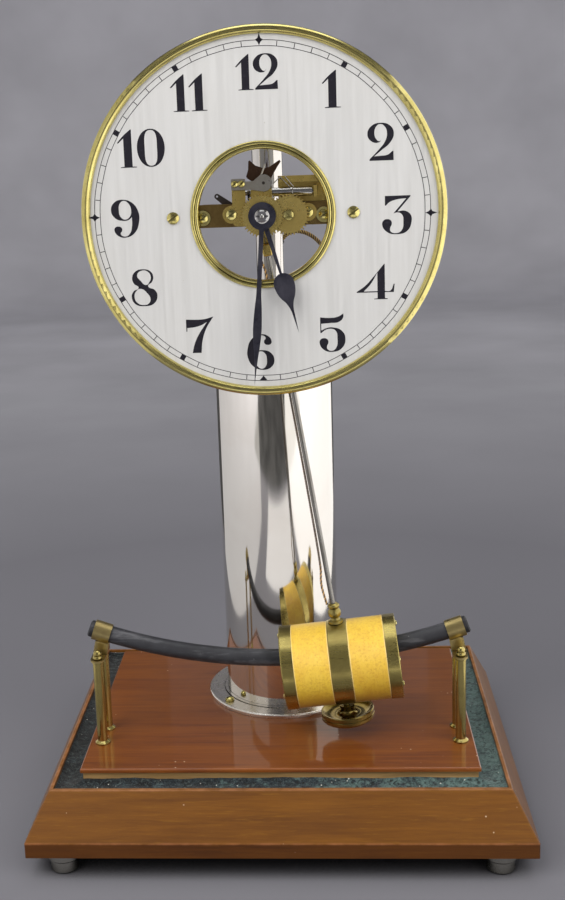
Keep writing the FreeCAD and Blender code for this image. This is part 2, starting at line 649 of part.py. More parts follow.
def make_ratchet():
    points = []
    for tooth in range(RATCHET_TEETH):
        for share, radius in ((0.0, RATCHET_R - 0.22), (0.08, RATCHET_R)):
            angle = 2 * math.pi * (tooth + share) / RATCHET_TEETH
            points.append((radius * math.cos(angle), radius * math.sin(angle)))
    base = RATCHET_X - 0.4
    face = Part.Face(wire_of(points, lambda a, b: V(base, WORM_Y + a, WORM_Z + b)))
    body = face.extrude(V(0.8, 0, 0))
    hub = rod(1.7, V(base, WORM_Y, WORM_Z), V(base + 1.6, WORM_Y, WORM_Z))
    body = joined([body, hub])
    return body.cut(rod(1.0, V(-8, WORM_Y, WORM_Z), V(0, WORM_Y, WORM_Z)))


# Fork, crutch and pawl

def make_fork():
    x, z = FORK_X, FORK_Z - DIAL_Z
    outline = [(x - 2.4, z - 1.0), (x, z - 1.8, x + 2.0, z - 1.0), (4.2, 15.4), (6.4, 19.0),
               (8.0, 21.3), (7.4, 21.9), (4.4, 20.0), (2.6, 19.1, 0.6, 18.9),
               (-2.4, 20.0), (-4.6, 22.1), (-5.2, 21.8), (-5.4, 18.4), (-6.3, 15.6),
               (-5.8, 14.9)]
    body = plate(outline, -41.9, -41.1, 0, DIAL_Z)
    return body.cut(disc(FORK_ARBOR_R, -43, -40, x, FORK_Z))


def make_fork_arbor():
    front, back = PLATE_FRONT - 0.9, SWING_Y + 4.5
    arbor = disc(FORK_ARBOR_R, front, back, FORK_X, FORK_Z)
    collar = disc(1.3, -41.1, -39.2, FORK_X, FORK_Z)
    depth0, depth1 = SWING_Y + 3.3, SWING_Y + 4.1
    gap, width, low, split = 1.75, 0.9, -12.6, -7.4
    outer = gap + width
    outline = [(-0.7, 0), (-0.7, split + 1.6), (-outer, split), (-outer, low),
               (-gap, low), (-gap, split - 0.6), (0, split + 0.4, gap, split - 0.6),
               (gap, low), (outer, low), (outer, split), (0.7, split + 1.6), (0.7, 0)]
    crutch = plate(outline, depth0, depth1, FORK_X, FORK_Z)
    boss = disc(1.7, depth0, depth1, FORK_X, FORK_Z)
    crutch = turn_about(joined([crutch, boss]), FORK_X, FORK_Z, CRUTCH_LEAN)
    return joined([arbor, collar, crutch])


def make_pawl():
    front, back = BAR_BACK + 0.4, BAR_BACK + 1.0
    tip_z = WORM_Z - DIAL_Z + 0.2
    x, z = FORK_X, FORK_Z - DIAL_Z
    outline = [(x - 0.9, z - 1.3), (x + 1.5, z - 0.4), (x, z + 1.5),
               (RATCHET_X + 0.6, tip_z + 0.9), (RATCHET_X - 0.6, tip_z + 0.6),
               (RATCHET_X - 0.6, tip_z - 0.4), (RATCHET_X + 0.6, tip_z - 0.3)]
    arm = plate(outline, front, back, 0, DIAL_Z)
    reach = WORM_Y + RATCHET_R + 0.25
    tip = box(RATCHET_X - 0.5, RATCHET_X + 0.5, reach, front + 0.1,
              DIAL_Z + tip_z - 0.2, DIAL_Z + tip_z + 0.4)
    return joined([arm, tip]).cut(disc(FORK_ARBOR_R, front - 1, back + 1, x, FORK_Z))


LEVER_X, LEVER_Z = -10.0, DIAL_Z + 1.0


def make_stop_lever():
    front, back = BAR_BACK + 0.3, BAR_BACK + 1.4
    tip_x, tip_z = -19.0, DIAL_Z + 7.9
    run = V(tip_x - LEVER_X, 0, tip_z - LEVER_Z)
    length = run.Length
    outline = [(0, -1.9), (1.9, 0, 0, 1.9), (-length, 1.1),
               (-length - 1.1, 0, -length, -1.1)]
    lean = math.degrees(math.atan2(run.z, -run.x))
    body = plate(outline, front, back, LEVER_X, LEVER_Z)
    body = body.cut(disc(0.45, front - 1, back + 1, LEVER_X - length, LEVER_Z))
    body = turn_about(body, LEVER_X, LEVER_Z, lean)
    body = body.cut(disc(1.2 + RUN, front - 1, back + 1, LEVER_X, LEVER_Z))
    pivot = screw(V(LEVER_X, back + 0.1, LEVER_Z), Y_AXIS, 2.0, 1.2, 1.2, 2.6)
    return body, pivot


# Hands

def hand(outline, front, back, angle, bore, boss_r):
    """Hand drawn pointing to twelve, one side only, then turned."""
    mirror = [tuple(-v if i % 2 == 0 else v for i, v in enumerate(step)) for step in outline]
    back_side = []
    for index in range(len(mirror) - 1, 0, -1):
        step, before = mirror[index], mirror[index - 1]
        back_side.append(step[:2] + before[-2:] if len(step) == 4 else before[-2:])
    body = plate(list(outline) + back_side, front, back, 0, DIAL_Z)
    body = joined([body, disc(boss_r, front, back)])
    body = body.cut(disc(bore, front - 1, back + 1))
    return turn_about(body, 0, DIAL_Z, angle)


def make_hands():
    front = HOUR_HAND_FRONT
    hour = hand([(1.2, 0), (0.5, 24.5), (3.2, 26.0, 4.25, 29.2), (3.6, 33.0, 1.9, 36.2),
                 (0.9, 38.8, 0.5, 41.6), (0.35, HOUR_REACH)],
                front, front + 0.7, HOUR_ANGLE, HOUR_PIPE_R, 4.4)
    front = MINUTE_HAND_FRONT
    minute = hand([(0.95, 0), (0.9, 26.0), (1.05, 32.4), (1.66, 41.0, 1.82, 46.0),
                   (1.4, 52.8, 0.78, 58.0), (0.38, 62.3), (0.15, MINUTE_REACH)],
                  front, front + 0.6, MINUTE_ANGLE, 1.5, 5.6)
    nut = turned([(ARBOR_R, 0), (3.0, 0), (3.0, 0.5), (2.5, 0.7), (2.5, 1.2), (2.0, 1.6),
                  (ARBOR_R, 1.6)], V(0, front, DIAL_Z), FRONT)
    slot = box(-3, 3, -52, -50.5, DIAL_Z - 0.35, DIAL_Z + 0.35)
    return hour, minute, nut.cut(slot)


# Pendulum, drawn hanging straight down and then swung

def swung(shape):
    return turn_about(shape, 0, PIVOT_Z, -SWING)


def coil_place(shape):
    """Place a shape drawn about the coil's own centre, with +X along the
    coil and -Z down, below the rod's nut."""
    swing = math.radians(SWING)
    lean = math.radians(COIL_LEAN)
    x = ROD_LENGTH * math.sin(swing) + COIL_BELOW_NUT * math.sin(lean)
    z = PIVOT_Z - ROD_LENGTH * math.cos(swing) - COIL_BELOW_NUT * math.cos(lean)
    copy = shape.copy()
    turn = FreeCAD.Placement(V(x, SWING_Y, z), FreeCAD.Rotation(Y_AXIS, -COIL_LEAN))
    copy.Placement = turn.multiply(copy.Placement)
    return copy


def make_suspension():
    """Clamp block and its leaf spring, bent as the resting swing bends it."""
    half, low = 4.0, DIAL_Z - 6.5
    back = SWING_Y + 1.7
    block = box(-half, half, BAR_BACK, back, low, low + 7.9)
    block = block.makeChamfer(0.5, [e for e in block.Edges
                                    if abs(e.BoundBox.YLength) > 3])
    turn = math.radians(SWING)
    reach = low - PIVOT_Z
    bend = reach / math.tan(turn / 2)

    def at(radius, angle, along=0.0):
        return (bend - radius * math.cos(angle) + along * math.sin(angle),
                reach - radius * math.sin(angle) - along * math.cos(angle))

    near, far = bend - SPRING_T / 2, bend + SPRING_T / 2
    clamped, held = 3.1, 2.9
    outline = [at(far, 0, -clamped), at(far, 0), at(far, turn / 2) + at(far, turn),
               at(far, turn, held), at(near, turn, held), at(near, turn),
               at(near, turn / 2) + at(near, 0), at(near, 0, -clamped)]
    spring = plate(outline, SWING_Y - 1.6, SWING_Y + 1.6, 0, PIVOT_Z)
    return block.cut(spring), spring


def make_pendulum_head(spring):
    top = PIVOT_Z - 3.6
    low = PIVOT_Z - 8.6
    front, back = SWING_Y - 1.9, SWING_Y + 2.9
    block = box(-1.9, 1.9, front, back, low, top)
    block = block.makeChamfer(0.4, block.Edges)
    arm_front = SWING_Y + 2.1
    pin_z = DIAL_Z + 2.4
    outline = [(-1.6, low + 0.5), (1.6, low + 0.5), (1.2, PIVOT_Z), (1.1, pin_z),
               (0, pin_z + 1.1, -1.1, pin_z), (-1.2, PIVOT_Z)]
    arm = plate(outline, arm_front, back)
    pin = rod(0.5, V(0, back - 0.1, pin_z), V(0, SWING_Y + 4.5, pin_z))
    bore = rod(ROD_R, V(0, SWING_Y, low - 1), V(0, SWING_Y, low + 3.2))
    return swung(joined([block, arm, pin]).cut(bore)).cut(spring)


def make_rod():
    top = V(0, SWING_Y, PIVOT_Z - 5.4)
    end = V(0, SWING_Y, PIVOT_Z - ROD_LENGTH)
    return swung(rod(ROD_R, top, end))


def make_rod_nut(stem):
    """Ball nut over a round foot on the coil, with a collar round the rod."""
    seat = COIL_R + 0.1
    ball_r, neck_r = 2.9, 1.8
    middle = COIL_BELOW_NUT - seat
    half = math.sqrt(ball_r ** 2 - neck_r ** 2)
    profile = [(0, 0), (3.4, 0), (3.4, 0.9), (2.2, 1.5), (neck_r, middle - half),
               (ball_r, middle, neck_r, middle + half), (2.5, middle + half + 0.5),
               (2.6, middle + half + 1.1, 2.4, middle + half + 1.7),
               (1.6, middle + half + 2.2), (0, middle + half + 2.2)]
    return coil_place(turned(profile, V(0, 0, seat))).cut(stem)


def ring_x(r_out, r_in, x0, x1):
    outer = Part.makeCylinder(r_out, x1 - x0, V(x0, 0, 0), X_AXIS)
    return outer.cut(Part.makeCylinder(r_in, x1 - x0 + 2, V(x0 - 1, 0, 0), X_AXIS))


def make_coil():
    tube_r = COIL_BORE_R + BOBBIN_WALL
    bobbin = ring_x(tube_r, COIL_BORE_R, -COIL_HALF, COIL_HALF)
    inner, outer = COIL_BAND_HALF, COIL_HALF - COIL_CAP_W
    windings, caps, screws = [], [], []
    for side in (-1, 1):
        a, b = sorted((side * inner, side * outer))
        winding = ring_x(COIL_R - 0.15, tube_r, a, b)
        windings.append(winding)
        a, b = sorted((side * outer, side * COIL_HALF))
        cap = ring_x(COIL_R, tube_r, a, b)
        rim = [e for e in cap.Edges if e.BoundBox.ZLength > 2 * COIL_R - 0.1
               and abs(abs(e.BoundBox.Center.x) - COIL_HALF) < 0.1]
        cap = cap.makeFillet(0.5, rim)
        for k in range(3):
            turn = math.radians(90 + 120 * k)
            place = V(side * COIL_HALF, 15.4 * math.cos(turn), 15.4 * math.sin(turn))
            one = screw(place, V(side, 0, 0), 1.3, 0.9, 0.7, 3.0)
            screws.append(one)
            cap = cap.cut(one)
        caps.append(cap)
    band = ring_x(COIL_R + 0.1, tube_r, -inner, inner)
    band = band.makeFillet(0.3, [e for e in band.Edges
                                 if e.BoundBox.ZLength > 2 * COIL_R])
    spindle = Part.makeCylinder(1.5, 14.0, V(0, 0, -COIL_R + 0.6), V(0, 0, -1))
    band = joined([band, spindle])
    return bobbin, windings, band, caps, screws


def make_rating():
    top = -NUT_BELOW_COIL
    bore = 1.5 + RUN
    washer = turned([(bore, top), (3.4, top), (3.4, top + 0.8), (bore, top + 0.8)])
    rim = NUT_R
    nut = turned([(bore, top - 0.05), (3.4, top - 0.05), (3.7, top - 2.6, 6.0, top - 3.3),
                  (9.4, top - 2.7, rim - 0.9, top - 1.2), (rim - 0.3, top - 1.1),
                  (rim, top - 1.5), (rim, top - 3.0), (rim - 0.3, top - 3.3),
                  (rim, top - 3.6), (rim, top - 4.8), (rim - 0.6, top - 5.5),
                  (7.6, top - 7.3, 3.6, top - 7.8), (bore, top - 7.8)])
    return washer, nut


def make_leads():
    """Lead from the cell up into the neck, its two bushes, and the coil's wire."""
    y, z = COLUMN_Y, DIAL_Z
    route = [V(5.4, y + 4.5, z - 15.1), V(7.6, y + 5.6, z - 12.5), V(11.4, y + 6.0, z - 11.2),
             V(16.0, y + 5.6, z - 11.8), V(20.6, y + 4.8, z - 14.3), V(24.5, y + 3.8, z - 18.6),
             V(26.9, y + 2.8, z - 24.4), V(27.2, y + 1.8, z - 30.8), V(25.2, y + 0.8, z - 37.0),
             V(20.4, y, z - 42.0)]
    supply = lead(route, 1.0)
    bushes = []
    for end, inside in ((route[0], route[0] - route[1]), (route[-1], route[-1] - route[-2])):
        bushes.append(rod(1.7, end, end + inside.normalize() * BUSH_LENGTH))
    side = -ROD_R - ROD_LEAD_R
    high, low = PIVOT_Z - 6.0, PIVOT_Z - ROD_LENGTH
    points = [(-1.9, high), (side - 2.1, high), (side - 1.3, high - 5.0),
              (side, high - 11.0), (side, low + 24.0), (side - 1.9, low + 15.0),
              (side - 1.5, low + 9.0), (side - 0.9, low + 4.2)]
    wire = lead([V(x, SWING_Y, height) for x, height in points], ROD_LEAD_R)
    return supply, bushes, swung(wire)


def build():
    plinth, board, felt, feet = make_base()
    strap, strap_screws = make_strap()
    tube, flange, flange_screws, shoulder, neck, cell, contact = make_column()
    board = drilled(board, flange_screws)
    flange = drilled(flange, flange_screws)
    plinth = drilled(plinth, strap_screws)
    yoke, clamp, arms = make_yoke()
    magnet = make_magnet()
    posts, finials = make_posts()
    dial, bezel, ring, dial_screws, pillars = make_dial()
    posts_in, plate_screws = make_plate_screws()
    bar_screws = make_bar_screws()
    bracket, springs = make_worm_bracket()
    bracket = drilled(bracket, bar_screws)
    front = drilled(make_front_plate(), plate_screws)
    lever, lever_pivot = make_stop_lever()
    block, spring = make_suspension()
    block = drilled(block, plate_screws)
    bar = drilled(make_bar(), bar_screws + plate_screws + dial_screws + [lever_pivot])
    arms = [drilled(arm, bar_screws) for arm in arms]
    pillars = [drilled(one, dial_screws) for one in pillars]
    posts_in = [drilled(one, plate_screws) for one in posts_in]
    cock = drilled(make_cock(), plate_screws)
    arbor, worm_wheel, cannon = make_centre_work()
    minute_wheel, hour_wheel, stud = make_motion_wheels()
    front = front.cut(stud)
    hour_hand, minute_hand, hand_nut = make_hands()
    stem = make_rod()
    bobbin, windings, band, caps, coil_screws = make_coil()
    washer, nut = make_rating()
    supply, bushes, wire = make_leads()
    neck = drilled(neck, bushes)
    shoulder = drilled(shoulder, bushes)
    return {
        "plinth": [plinth],
        "platform_board": [board],
        "groove_felt": [felt],
        "base_feet": feet,
        "battery_strap": [strap],
        "base_screws": strap_screws + flange_screws,
        "column_tube": [tube],
        "column_flange": [flange],
        "column_shoulder": [shoulder],
        "neck_tube": [neck],
        "dry_cell": [cell],
        "cell_contact": [contact],
        "neck_yoke": [yoke],
        "bar_arms": arms,
        "magnet_bar": [magnet],
        "magnet_saddles": [make_saddle(-1, magnet), make_saddle(1, magnet)],
        "magnet_posts": posts,
        "post_finials": finials,
        "dial_plate": [drilled(dial, dial_screws)],
        "bezel": [bezel],
        "window_ring": [ring],
        "dial_screws": dial_screws,
        "movement_bar": [bar],
        "bar_screws": bar_screws,
        "front_plate": [front],
        "movement_pillars": pillars + posts_in,
        "movement_screws": plate_screws + [clamp, lever_pivot],
        "worm_bracket": [bracket],
        "brake_springs": springs,
        "fork_cock": [cock],
        "centre_arbor": [arbor],
        "worm_wheel": [worm_wheel],
        "cannon_pinion": [cannon],
        "minute_wheel": [minute_wheel],
        "minute_stud": [stud],
        "hour_wheel": [hour_wheel],
        "worm_arbor": [make_worm()],
        "ratchet_wheel": [make_ratchet()],
        "fork": [make_fork()],
        "fork_arbor": [make_fork_arbor()],
        "pawl": [make_pawl()],
        "stop_lever": [lever],
        "hour_hand": [hour_hand],
        "minute_hand": [minute_hand],
        "hand_nut": [hand_nut],
        "suspension_block": [block],
        "suspension_spring": [spring],
        "pendulum_head": [make_pendulum_head(spring)],
        "pendulum_rod": [stem],
        "rod_nut": [make_rod_nut(stem)],
        "coil_bobbin": [coil_place(bobbin)],
        "coil_windings": [coil_place(one) for one in windings],
        "coil_band": [coil_place(band)],
        "coil_caps": [coil_place(one) for one in caps],
        "coil_screws": [coil_place(one) for one in coil_screws],
        "rating_washer": [coil_place(washer)],
        "rating_nut": [coil_place(nut)],
        "supply_lead": [supply],
        "lead_bushes": bushes,
        "rod_lead": [wire],
    }


def write(parts):
    os.makedirs("parts", exist_ok=True)
    for name, solids in parts.items():
        shape = solids[0] if len(solids) == 1 else Part.makeCompound(solids)
        if not shape.isValid():
            print("not valid:", name)
        shape.exportStep("parts/" + name + ".step")
    print(len(parts), "nodes written")


write(build())
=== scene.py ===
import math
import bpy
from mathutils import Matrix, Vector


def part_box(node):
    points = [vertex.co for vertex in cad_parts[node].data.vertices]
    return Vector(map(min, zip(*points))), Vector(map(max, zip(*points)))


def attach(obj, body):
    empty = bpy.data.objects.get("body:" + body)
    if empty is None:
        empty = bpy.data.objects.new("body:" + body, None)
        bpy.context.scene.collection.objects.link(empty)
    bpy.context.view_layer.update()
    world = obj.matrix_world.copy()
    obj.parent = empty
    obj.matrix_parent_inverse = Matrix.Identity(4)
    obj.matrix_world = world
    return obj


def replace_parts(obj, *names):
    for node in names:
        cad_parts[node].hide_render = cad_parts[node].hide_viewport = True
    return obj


bl_info = {
    "name": "Coil Pendulum Clock",
    "version": (1, 0, 0),
    "blender": (4, 5, 0),
    "location": "3D View > Sidebar > Clock",
    "description": "Finishes, dial print, windings, leads and studio for a coil pendulum clock",
    "category": "Object",
}

import bmesh
import bpy
from bpy.props import FloatProperty, FloatVectorProperty, PointerProperty
from bpy.types import NodeSocket, Operator, Panel, PropertyGroup
from mathutils import Matrix, Vector, noise

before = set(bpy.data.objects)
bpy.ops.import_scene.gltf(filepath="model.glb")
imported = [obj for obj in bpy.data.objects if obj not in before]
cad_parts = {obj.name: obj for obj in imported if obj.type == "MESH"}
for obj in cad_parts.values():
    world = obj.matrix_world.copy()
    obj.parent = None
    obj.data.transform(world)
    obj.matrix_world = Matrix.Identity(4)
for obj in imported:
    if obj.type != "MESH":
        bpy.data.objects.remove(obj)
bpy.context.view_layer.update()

# Places shared with the CAD model, in metres
MM = 0.001
DIAL_Z = 275.5 * MM
DIAL_FACE_Y = -42.0 * MM
COIL_LEAN = math.radians(6.1)
COIL_R = 18.8 * MM
BAND_HALF = 4.4 * MM
CAP_START = 20.6 * MM
TUBE_R = 11.8 * MM
PLINTH_BAND = 6.6 * MM
PLINTH_MITRE = 21.0 * MM
FOOT_GROOVE_Z = 5.7 * MM
QUARTER_TURN = math.radians(90)


# Building a finish


class Finish:
    """A surface's material while its nodes are being laid out. Its colour is
    built up in layers, and its patterns lie in object space."""

    def __init__(self, name, colour=0.5):
        self.material = bpy.data.materials.new(name)
        self.material.use_nodes = True
        self.tree = self.material.node_tree
        self.shader = self.tree.nodes["Principled BSDF"]
        self.place = self.add("TexCoord").outputs["Object"]
        self.colour = colour

    def add(self, kind, inputs=None, **settings):
        """A shader node, with its inputs by name or by number."""
        node = self.tree.nodes.new("ShaderNode" + kind)
        for name, value in settings.items():
            setattr(node, name, value)
        for name, value in (inputs or {}).items():
            self.feed(node.inputs[name], value)
        return node

    def feed(self, socket, value):
        if isinstance(value, NodeSocket):
            self.tree.links.new(value, socket)
        else:
            socket.default_value = rgba(value) if socket.type == "RGBA" else value

    def done(self, **values):
        """The material, with shader sockets by name, underscores for spaces."""
        for name, value in (("Base_Color", self.colour), *values.items()):
            self.feed(self.shader.inputs[name.replace("_", " ")], value)
        return self.material

    def stretch(self, scale, turn=(0, 0, 0), shift=(0, 0, 0), source=None):
        inputs = {"Vector": source or self.place, "Scale": scale, "Rotation": turn}
        return self.add("Mapping", {**inputs, "Location": shift}).outputs["Vector"]

    def noise(self, scale, detail=4.0, rough=0.55, bend=0.0, place=None):
        return self.add("TexNoise", {
            "Vector": place or self.place, "Scale": scale, "Detail": detail,
            "Roughness": rough, "Distortion": bend}).outputs["Fac"]

    def grain(self, scales, *shape):
        """Noise with its own scale along each axis."""
        return self.noise(1.0, *shape, place=self.stretch(scales))

    def cells(self, scale):
        inputs = {"Vector": self.place, "Scale": scale}
        return self.add("TexVoronoi", inputs).outputs["Distance"]

    def nook(self, reach, samples):
        """Low where the surface is shut in within a short reach."""
        return self.add("AmbientOcclusion", {"Distance": reach}, samples=samples).outputs["AO"]

    def ramp(self, value, *stops):
        """Grey levels or colours, each given as (position, colour)."""
        node = self.add("ValToRGB", {"Fac": value})
        steps = node.color_ramp.elements
        while len(steps) < len(stops):
            steps.new(0.5)
        for step, (position, colour) in zip(steps, stops):
            step.position = position
            step.color = rgba(colour)
        return node.outputs["Color"]

    def mask(self, value, bare, full, share):
        """Nothing where a pattern's value is bare, up to a share where it is full."""
        return self.ramp(value, *sorted(((bare, 0.0), (full, share))))

    def span(self, value, low, high, from_low=0.0, from_high=1.0):
        """A value moved evenly from one range to another, and held there."""
        return self.add("MapRange", {
            "Value": value, "From Min": from_low, "From Max": from_high,
            "To Min": low, "To Max": high}).outputs["Result"]

    def layer(self, amount, colour, blend="MIX"):
        """Lays a colour over what is there."""
        self.colour = self.add("Mix", {0: amount, 6: self.colour, 7: colour},
                               data_type="RGBA", blend_type=blend).outputs[2]

    def stain(self, colour, value, *limits):
        self.layer(self.mask(value, *limits), colour)

    def fleck(self, colour, scale, dots, patches, limits):
        """Lays small dots of a colour, only where a slower pattern is high."""
        spots = self.mask(self.cells(scale), *dots)
        self.layer(self.math("MULTIPLY", spots, self.mask(patches, *limits)), colour)

    def math(self, operation, one, other=0.0):
        return self.add("Math", {0: one, 1: other}, operation=operation).outputs[0]

    def gap(self, value, level):
        """How far a value is from a level, on either side."""
        return self.math("ABSOLUTE", self.math("SUBTRACT", value, level))

    def radius(self, a, b):
        """Distance from an axis, by the two directions across it."""
        return self.math("SQRT", self.math("ADD", self.math("MULTIPLY", a, a),
                                           self.math("MULTIPLY", b, b)))

    def axes(self, source=None):
        node = self.add("SeparateXYZ", {"Vector": source or self.place})
        return node.outputs["X"], node.outputs["Y"], node.outputs["Z"]

    def bump(self, height, depth, strength, below=None):
        inputs = {"Height": height, "Distance": depth, "Strength": strength}
        if below:
            inputs["Normal"] = below
        return self.add("Bump", inputs).outputs["Normal"]


def rgba(colour):
    if isinstance(colour, (int, float)):
        return (colour, colour, colour, 1.0)
    return (*colour[:3], 1.0)


def dress(material, names):
    """Gives CAD nodes their finish."""
    for name in names.split():
        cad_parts[name].material_slots[0].material = material


def placed(name, data):
    """A new object in the scene, from its data or from a mesh being built."""
    if isinstance(data, bmesh.types.BMesh):
        built, data = data, bpy.data.meshes.new(name)
        built.to_mesh(data)
        built.free()
    made = bpy.data.objects.new(name, data)
    bpy.context.scene.collection.objects.link(made)
    return made


def piece(name, mesh, body, material):
    """A new object whose place is in its mesh, riding on a CAD body."""
    made = placed(name, mesh)
    made.data.materials.clear()
    made.data.materials.append(material)
    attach(made, body)
    return made


def smooth(made):
    for face in made.data.polygons:
        face.use_smooth = True
    return made


def spun(points, axis, weld, closed=False):
    """A profile of points turned once round an axis."""
    mesh = bmesh.new()
    line = [mesh.verts.new(point) for point in points]
    following = line[1:] + line[:1] if closed else line[1:]
    edges = [mesh.edges.new(pair) for pair in zip(line, following)]
    bmesh.ops.spin(mesh, geom=line + edges, cent=(0, 0, 0), axis=axis,
                   angle=math.tau, steps=96, use_merge=True)
    bmesh.ops.remove_doubles(mesh, verts=mesh.verts, dist=weld)
    bmesh.ops.recalc_face_normals(mesh, faces=mesh.faces)
    return mesh


# Settings


def tint(name, description, default):
    return FloatVectorProperty(name=name, description=description, subtype="COLOR",
                               default=default)


def amount(name, description, default, **kind):
    return FloatProperty(name=name, description=description, default=default, **kind)


class WoodSettings(PropertyGroup):
    plinth_dark: tint(
        "Plinth grain", "Dark streaks of the plinth's wood", (0.073, 0.024, 0.0025))
    plinth_light: tint(
        "Plinth wood", "Light ground of the plinth's wood", (0.152, 0.056, 0.0034))
    board_dark: tint(
        "Board grain", "Dark streaks of the polished board", (0.090, 0.022, 0.006))
    board_light: tint(
        "Board wood", "Light ground of the polished board", (0.205, 0.060, 0.006))
    gloss: amount(
        "Polish", "Strength of the clear polish over the wood", 0.85,
        subtype="FACTOR", min=0.0, max=1.0)


class MetalSettings(PropertyGroup):
    nickel: tint("Nickel", "Colour of the plated column and neck", (0.80, 0.77, 0.72))
    bright_brass: tint("Bright brass", "Colour of the polished rims", (0.86, 0.76, 0.29))
    aged_brass: tint("Aged brass", "Colour of the column's brass fittings", (0.42, 0.315, 0.08))
    steel: tint("Steel", "Colour of the movement's bright arbors", (0.70, 0.69, 0.65))
    blued: tint("Blued steel", "Colour of the hands", (0.070, 0.070, 0.095))


class DialSettings(PropertyGroup):
    silver: tint("Dial", "Colour of the silvered dial", (0.585, 0.585, 0.575))
    ink: tint("Print", "Colour of the numbers and the minute track", (0.012, 0.011, 0.016))
    numeral_size: amount(
        "Number size", "Height of the numbers against their usual one", 1.0, subtype="FACTOR")
    numeral_width: amount(
        "Number width", "Width of the numbers against their drawn one", 1.05, subtype="FACTOR")
    track_radius: amount(
        "Track radius", "Radius of the minute track's outer line", 68.95 * MM, unit="LENGTH")
    track_width: amount(
        "Track width", "Distance between the track's two lines", 2.25 * MM, unit="LENGTH")
    track_shift: amount(
        "Track shift", "How far the track sits left of the middle", 0.6 * MM, unit="LENGTH")
    track_turn: amount(
        "Track turn", "How far the marks are turned clockwise", math.radians(1.1),
        subtype="ANGLE")


class CoilSettings(PropertyGroup):
    silk: tint("Silk", "Colour of the silk on the windings", (0.72, 0.495, 0.038))
    # The silk shade is painted shade, laid between the turns and at random in the weave.
    silk_shade: tint("Silk shade", "Darker tone between the turns", (0.48, 0.24, 0.015))
    wire: amount("Wire", "Width of one turn of the silk-covered wire", 0.34 * MM, unit="LENGTH")
    lead_light: tint("Lead", "Light strands of the braided lead", (0.66, 0.45, 0.12))
    lead_dark: tint("Lead tracer", "Dark strands of the braided lead", (0.050, 0.016, 0.010))


class StudioSettings(PropertyGroup):
    floor: tint("Floor", "Colour of the studio floor", (0.172, 0.170, 0.188))
    wall: tint("Wall", "Colour of the plain wall round the floor", (0.66, 0.655, 0.70))
    key: amount(
        "Key light", "Power of the large soft light, high on the left", 31.0, subtype="POWER")
    fill: amount(
        "Fill light", "Power of the soft light, high on the right", 19.0, subtype="POWER")
    top: amount("Top light", "Power of the soft light overhead", 9.0, subtype="POWER")
    glow: amount("Glow", "Share of key and fill that gloss mirrors", 0.50, subtype="FACTOR")
    left_panel: amount(
        "Left panel", "Power of the left panel that metal mirrors", 0.42, subtype="POWER")
    right_panel: amount(
        "Right panel", "Power of the right panel that metal mirrors", 1.7, subtype="POWER")
    front_strip: amount(
        "Front strip", "Power of the floor strip that metal mirrors", 0.15, subtype="POWER")


# Finishes


def wood_finish(name, dark, light, gloss, bottom, top):
    """Polished mahogany with fine streaked grain, chips and pale worn edges.
    Wood with a bottom is mitred at its corners, and has a lower band darkened with painted shade."""
    made = Finish(name)
    mitred = bottom is not None
    x, y, z = made.axes()
    lie = made.stretch((20.0, 330.0, 330.0))
    if mitred:
        past = made.math("SUBTRACT", made.math("ABSOLUTE", x), PLINTH_MITRE)
        on_side = made.math("GREATER_THAN", past, made.math("ABSOLUTE", y))
        across = made.stretch((330.0, 20.0, 330.0))
        lie = made.add("Mix", {0: on_side, 4: lie, 5: across},
                       data_type="VECTOR").outputs[1]
    streaks = made.noise(1.0, 7.0, 0.68, 0.4, lie)
    threads = made.noise(3.3, 4.0, 0.7, place=lie)
    figure = made.grain((14.0, 60.0, 60.0), 3.0, 0.5, 0.6)
    middle = tuple((a + b) / 2 for a, b in zip(dark, light))
    golden = tuple(c * gain for c, gain in zip(light, (1.25, 1.45, 1.6)))
    strong = 0.5 if mitred else 0.3
    made.colour = made.ramp(streaks, (0.30, dark), (0.50, middle), (0.70, light))
    made.stain(light, figure, 0.35, 0.7, 0.55)
    made.stain(golden, threads, 0.56, 0.70, strong)
    made.stain(dark, threads, 0.42, 0.30, 0.75 * strong)
    made.fleck((0.62, 0.50, 0.36), 210.0, (0.09, 0.05, 1.0),
               made.noise(55.0, 2.0), (0.585, 0.62, 0.75))
    if mitred:
        rubbed = made.ramp(made.noise(150.0, 4.0, 0.65), (0.35, 0.15), (0.65, 1.0))
        seam = bottom + PLINTH_BAND
        # Painted shade: the lower band below the seam is darkened, as its upright face gets less
        # light.
        made.layer(made.span(z, 1.0, 0.0, seam - 0.3 * MM, seam), (0.62, 0.54, 0.66), "MULTIPLY")
        line = made.span(made.gap(z, seam), 0.5, 0.0, 0.2 * MM, 0.7 * MM)
        made.layer(made.math("MULTIPLY", line, rubbed), (0.30, 0.115, 0.045))
        edge = made.span(z, 0.0, 0.7, top - 0.7 * MM, top)
        made.layer(made.math("MULTIPLY", edge, rubbed), (0.34, 0.15, 0.065))
    else:
        bare = made.ramp(streaks, (0.3, (0.13, 0.075, 0.028)), (0.7, (0.33, 0.205, 0.08)))
        made.layer(made.span(z, 1.0, 0.0, top - 2.1 * MM, top - 1.7 * MM), bare)
    smear = made.noise(34.0, 5.0, 0.6)
    return made.done(
        Roughness=made.span(smear, 0.36, 0.5), Specular_IOR_Level=0.25,
        Coat_Weight=gloss, Coat_Roughness=0.22 if mitred else 0.05,
        Normal=made.bump(threads, 0.03 * MM, 0.3, made.bump(streaks, 0.05 * MM, 0.3)),
        Coat_Normal=made.bump(smear, 0.02 * MM, 0.25))
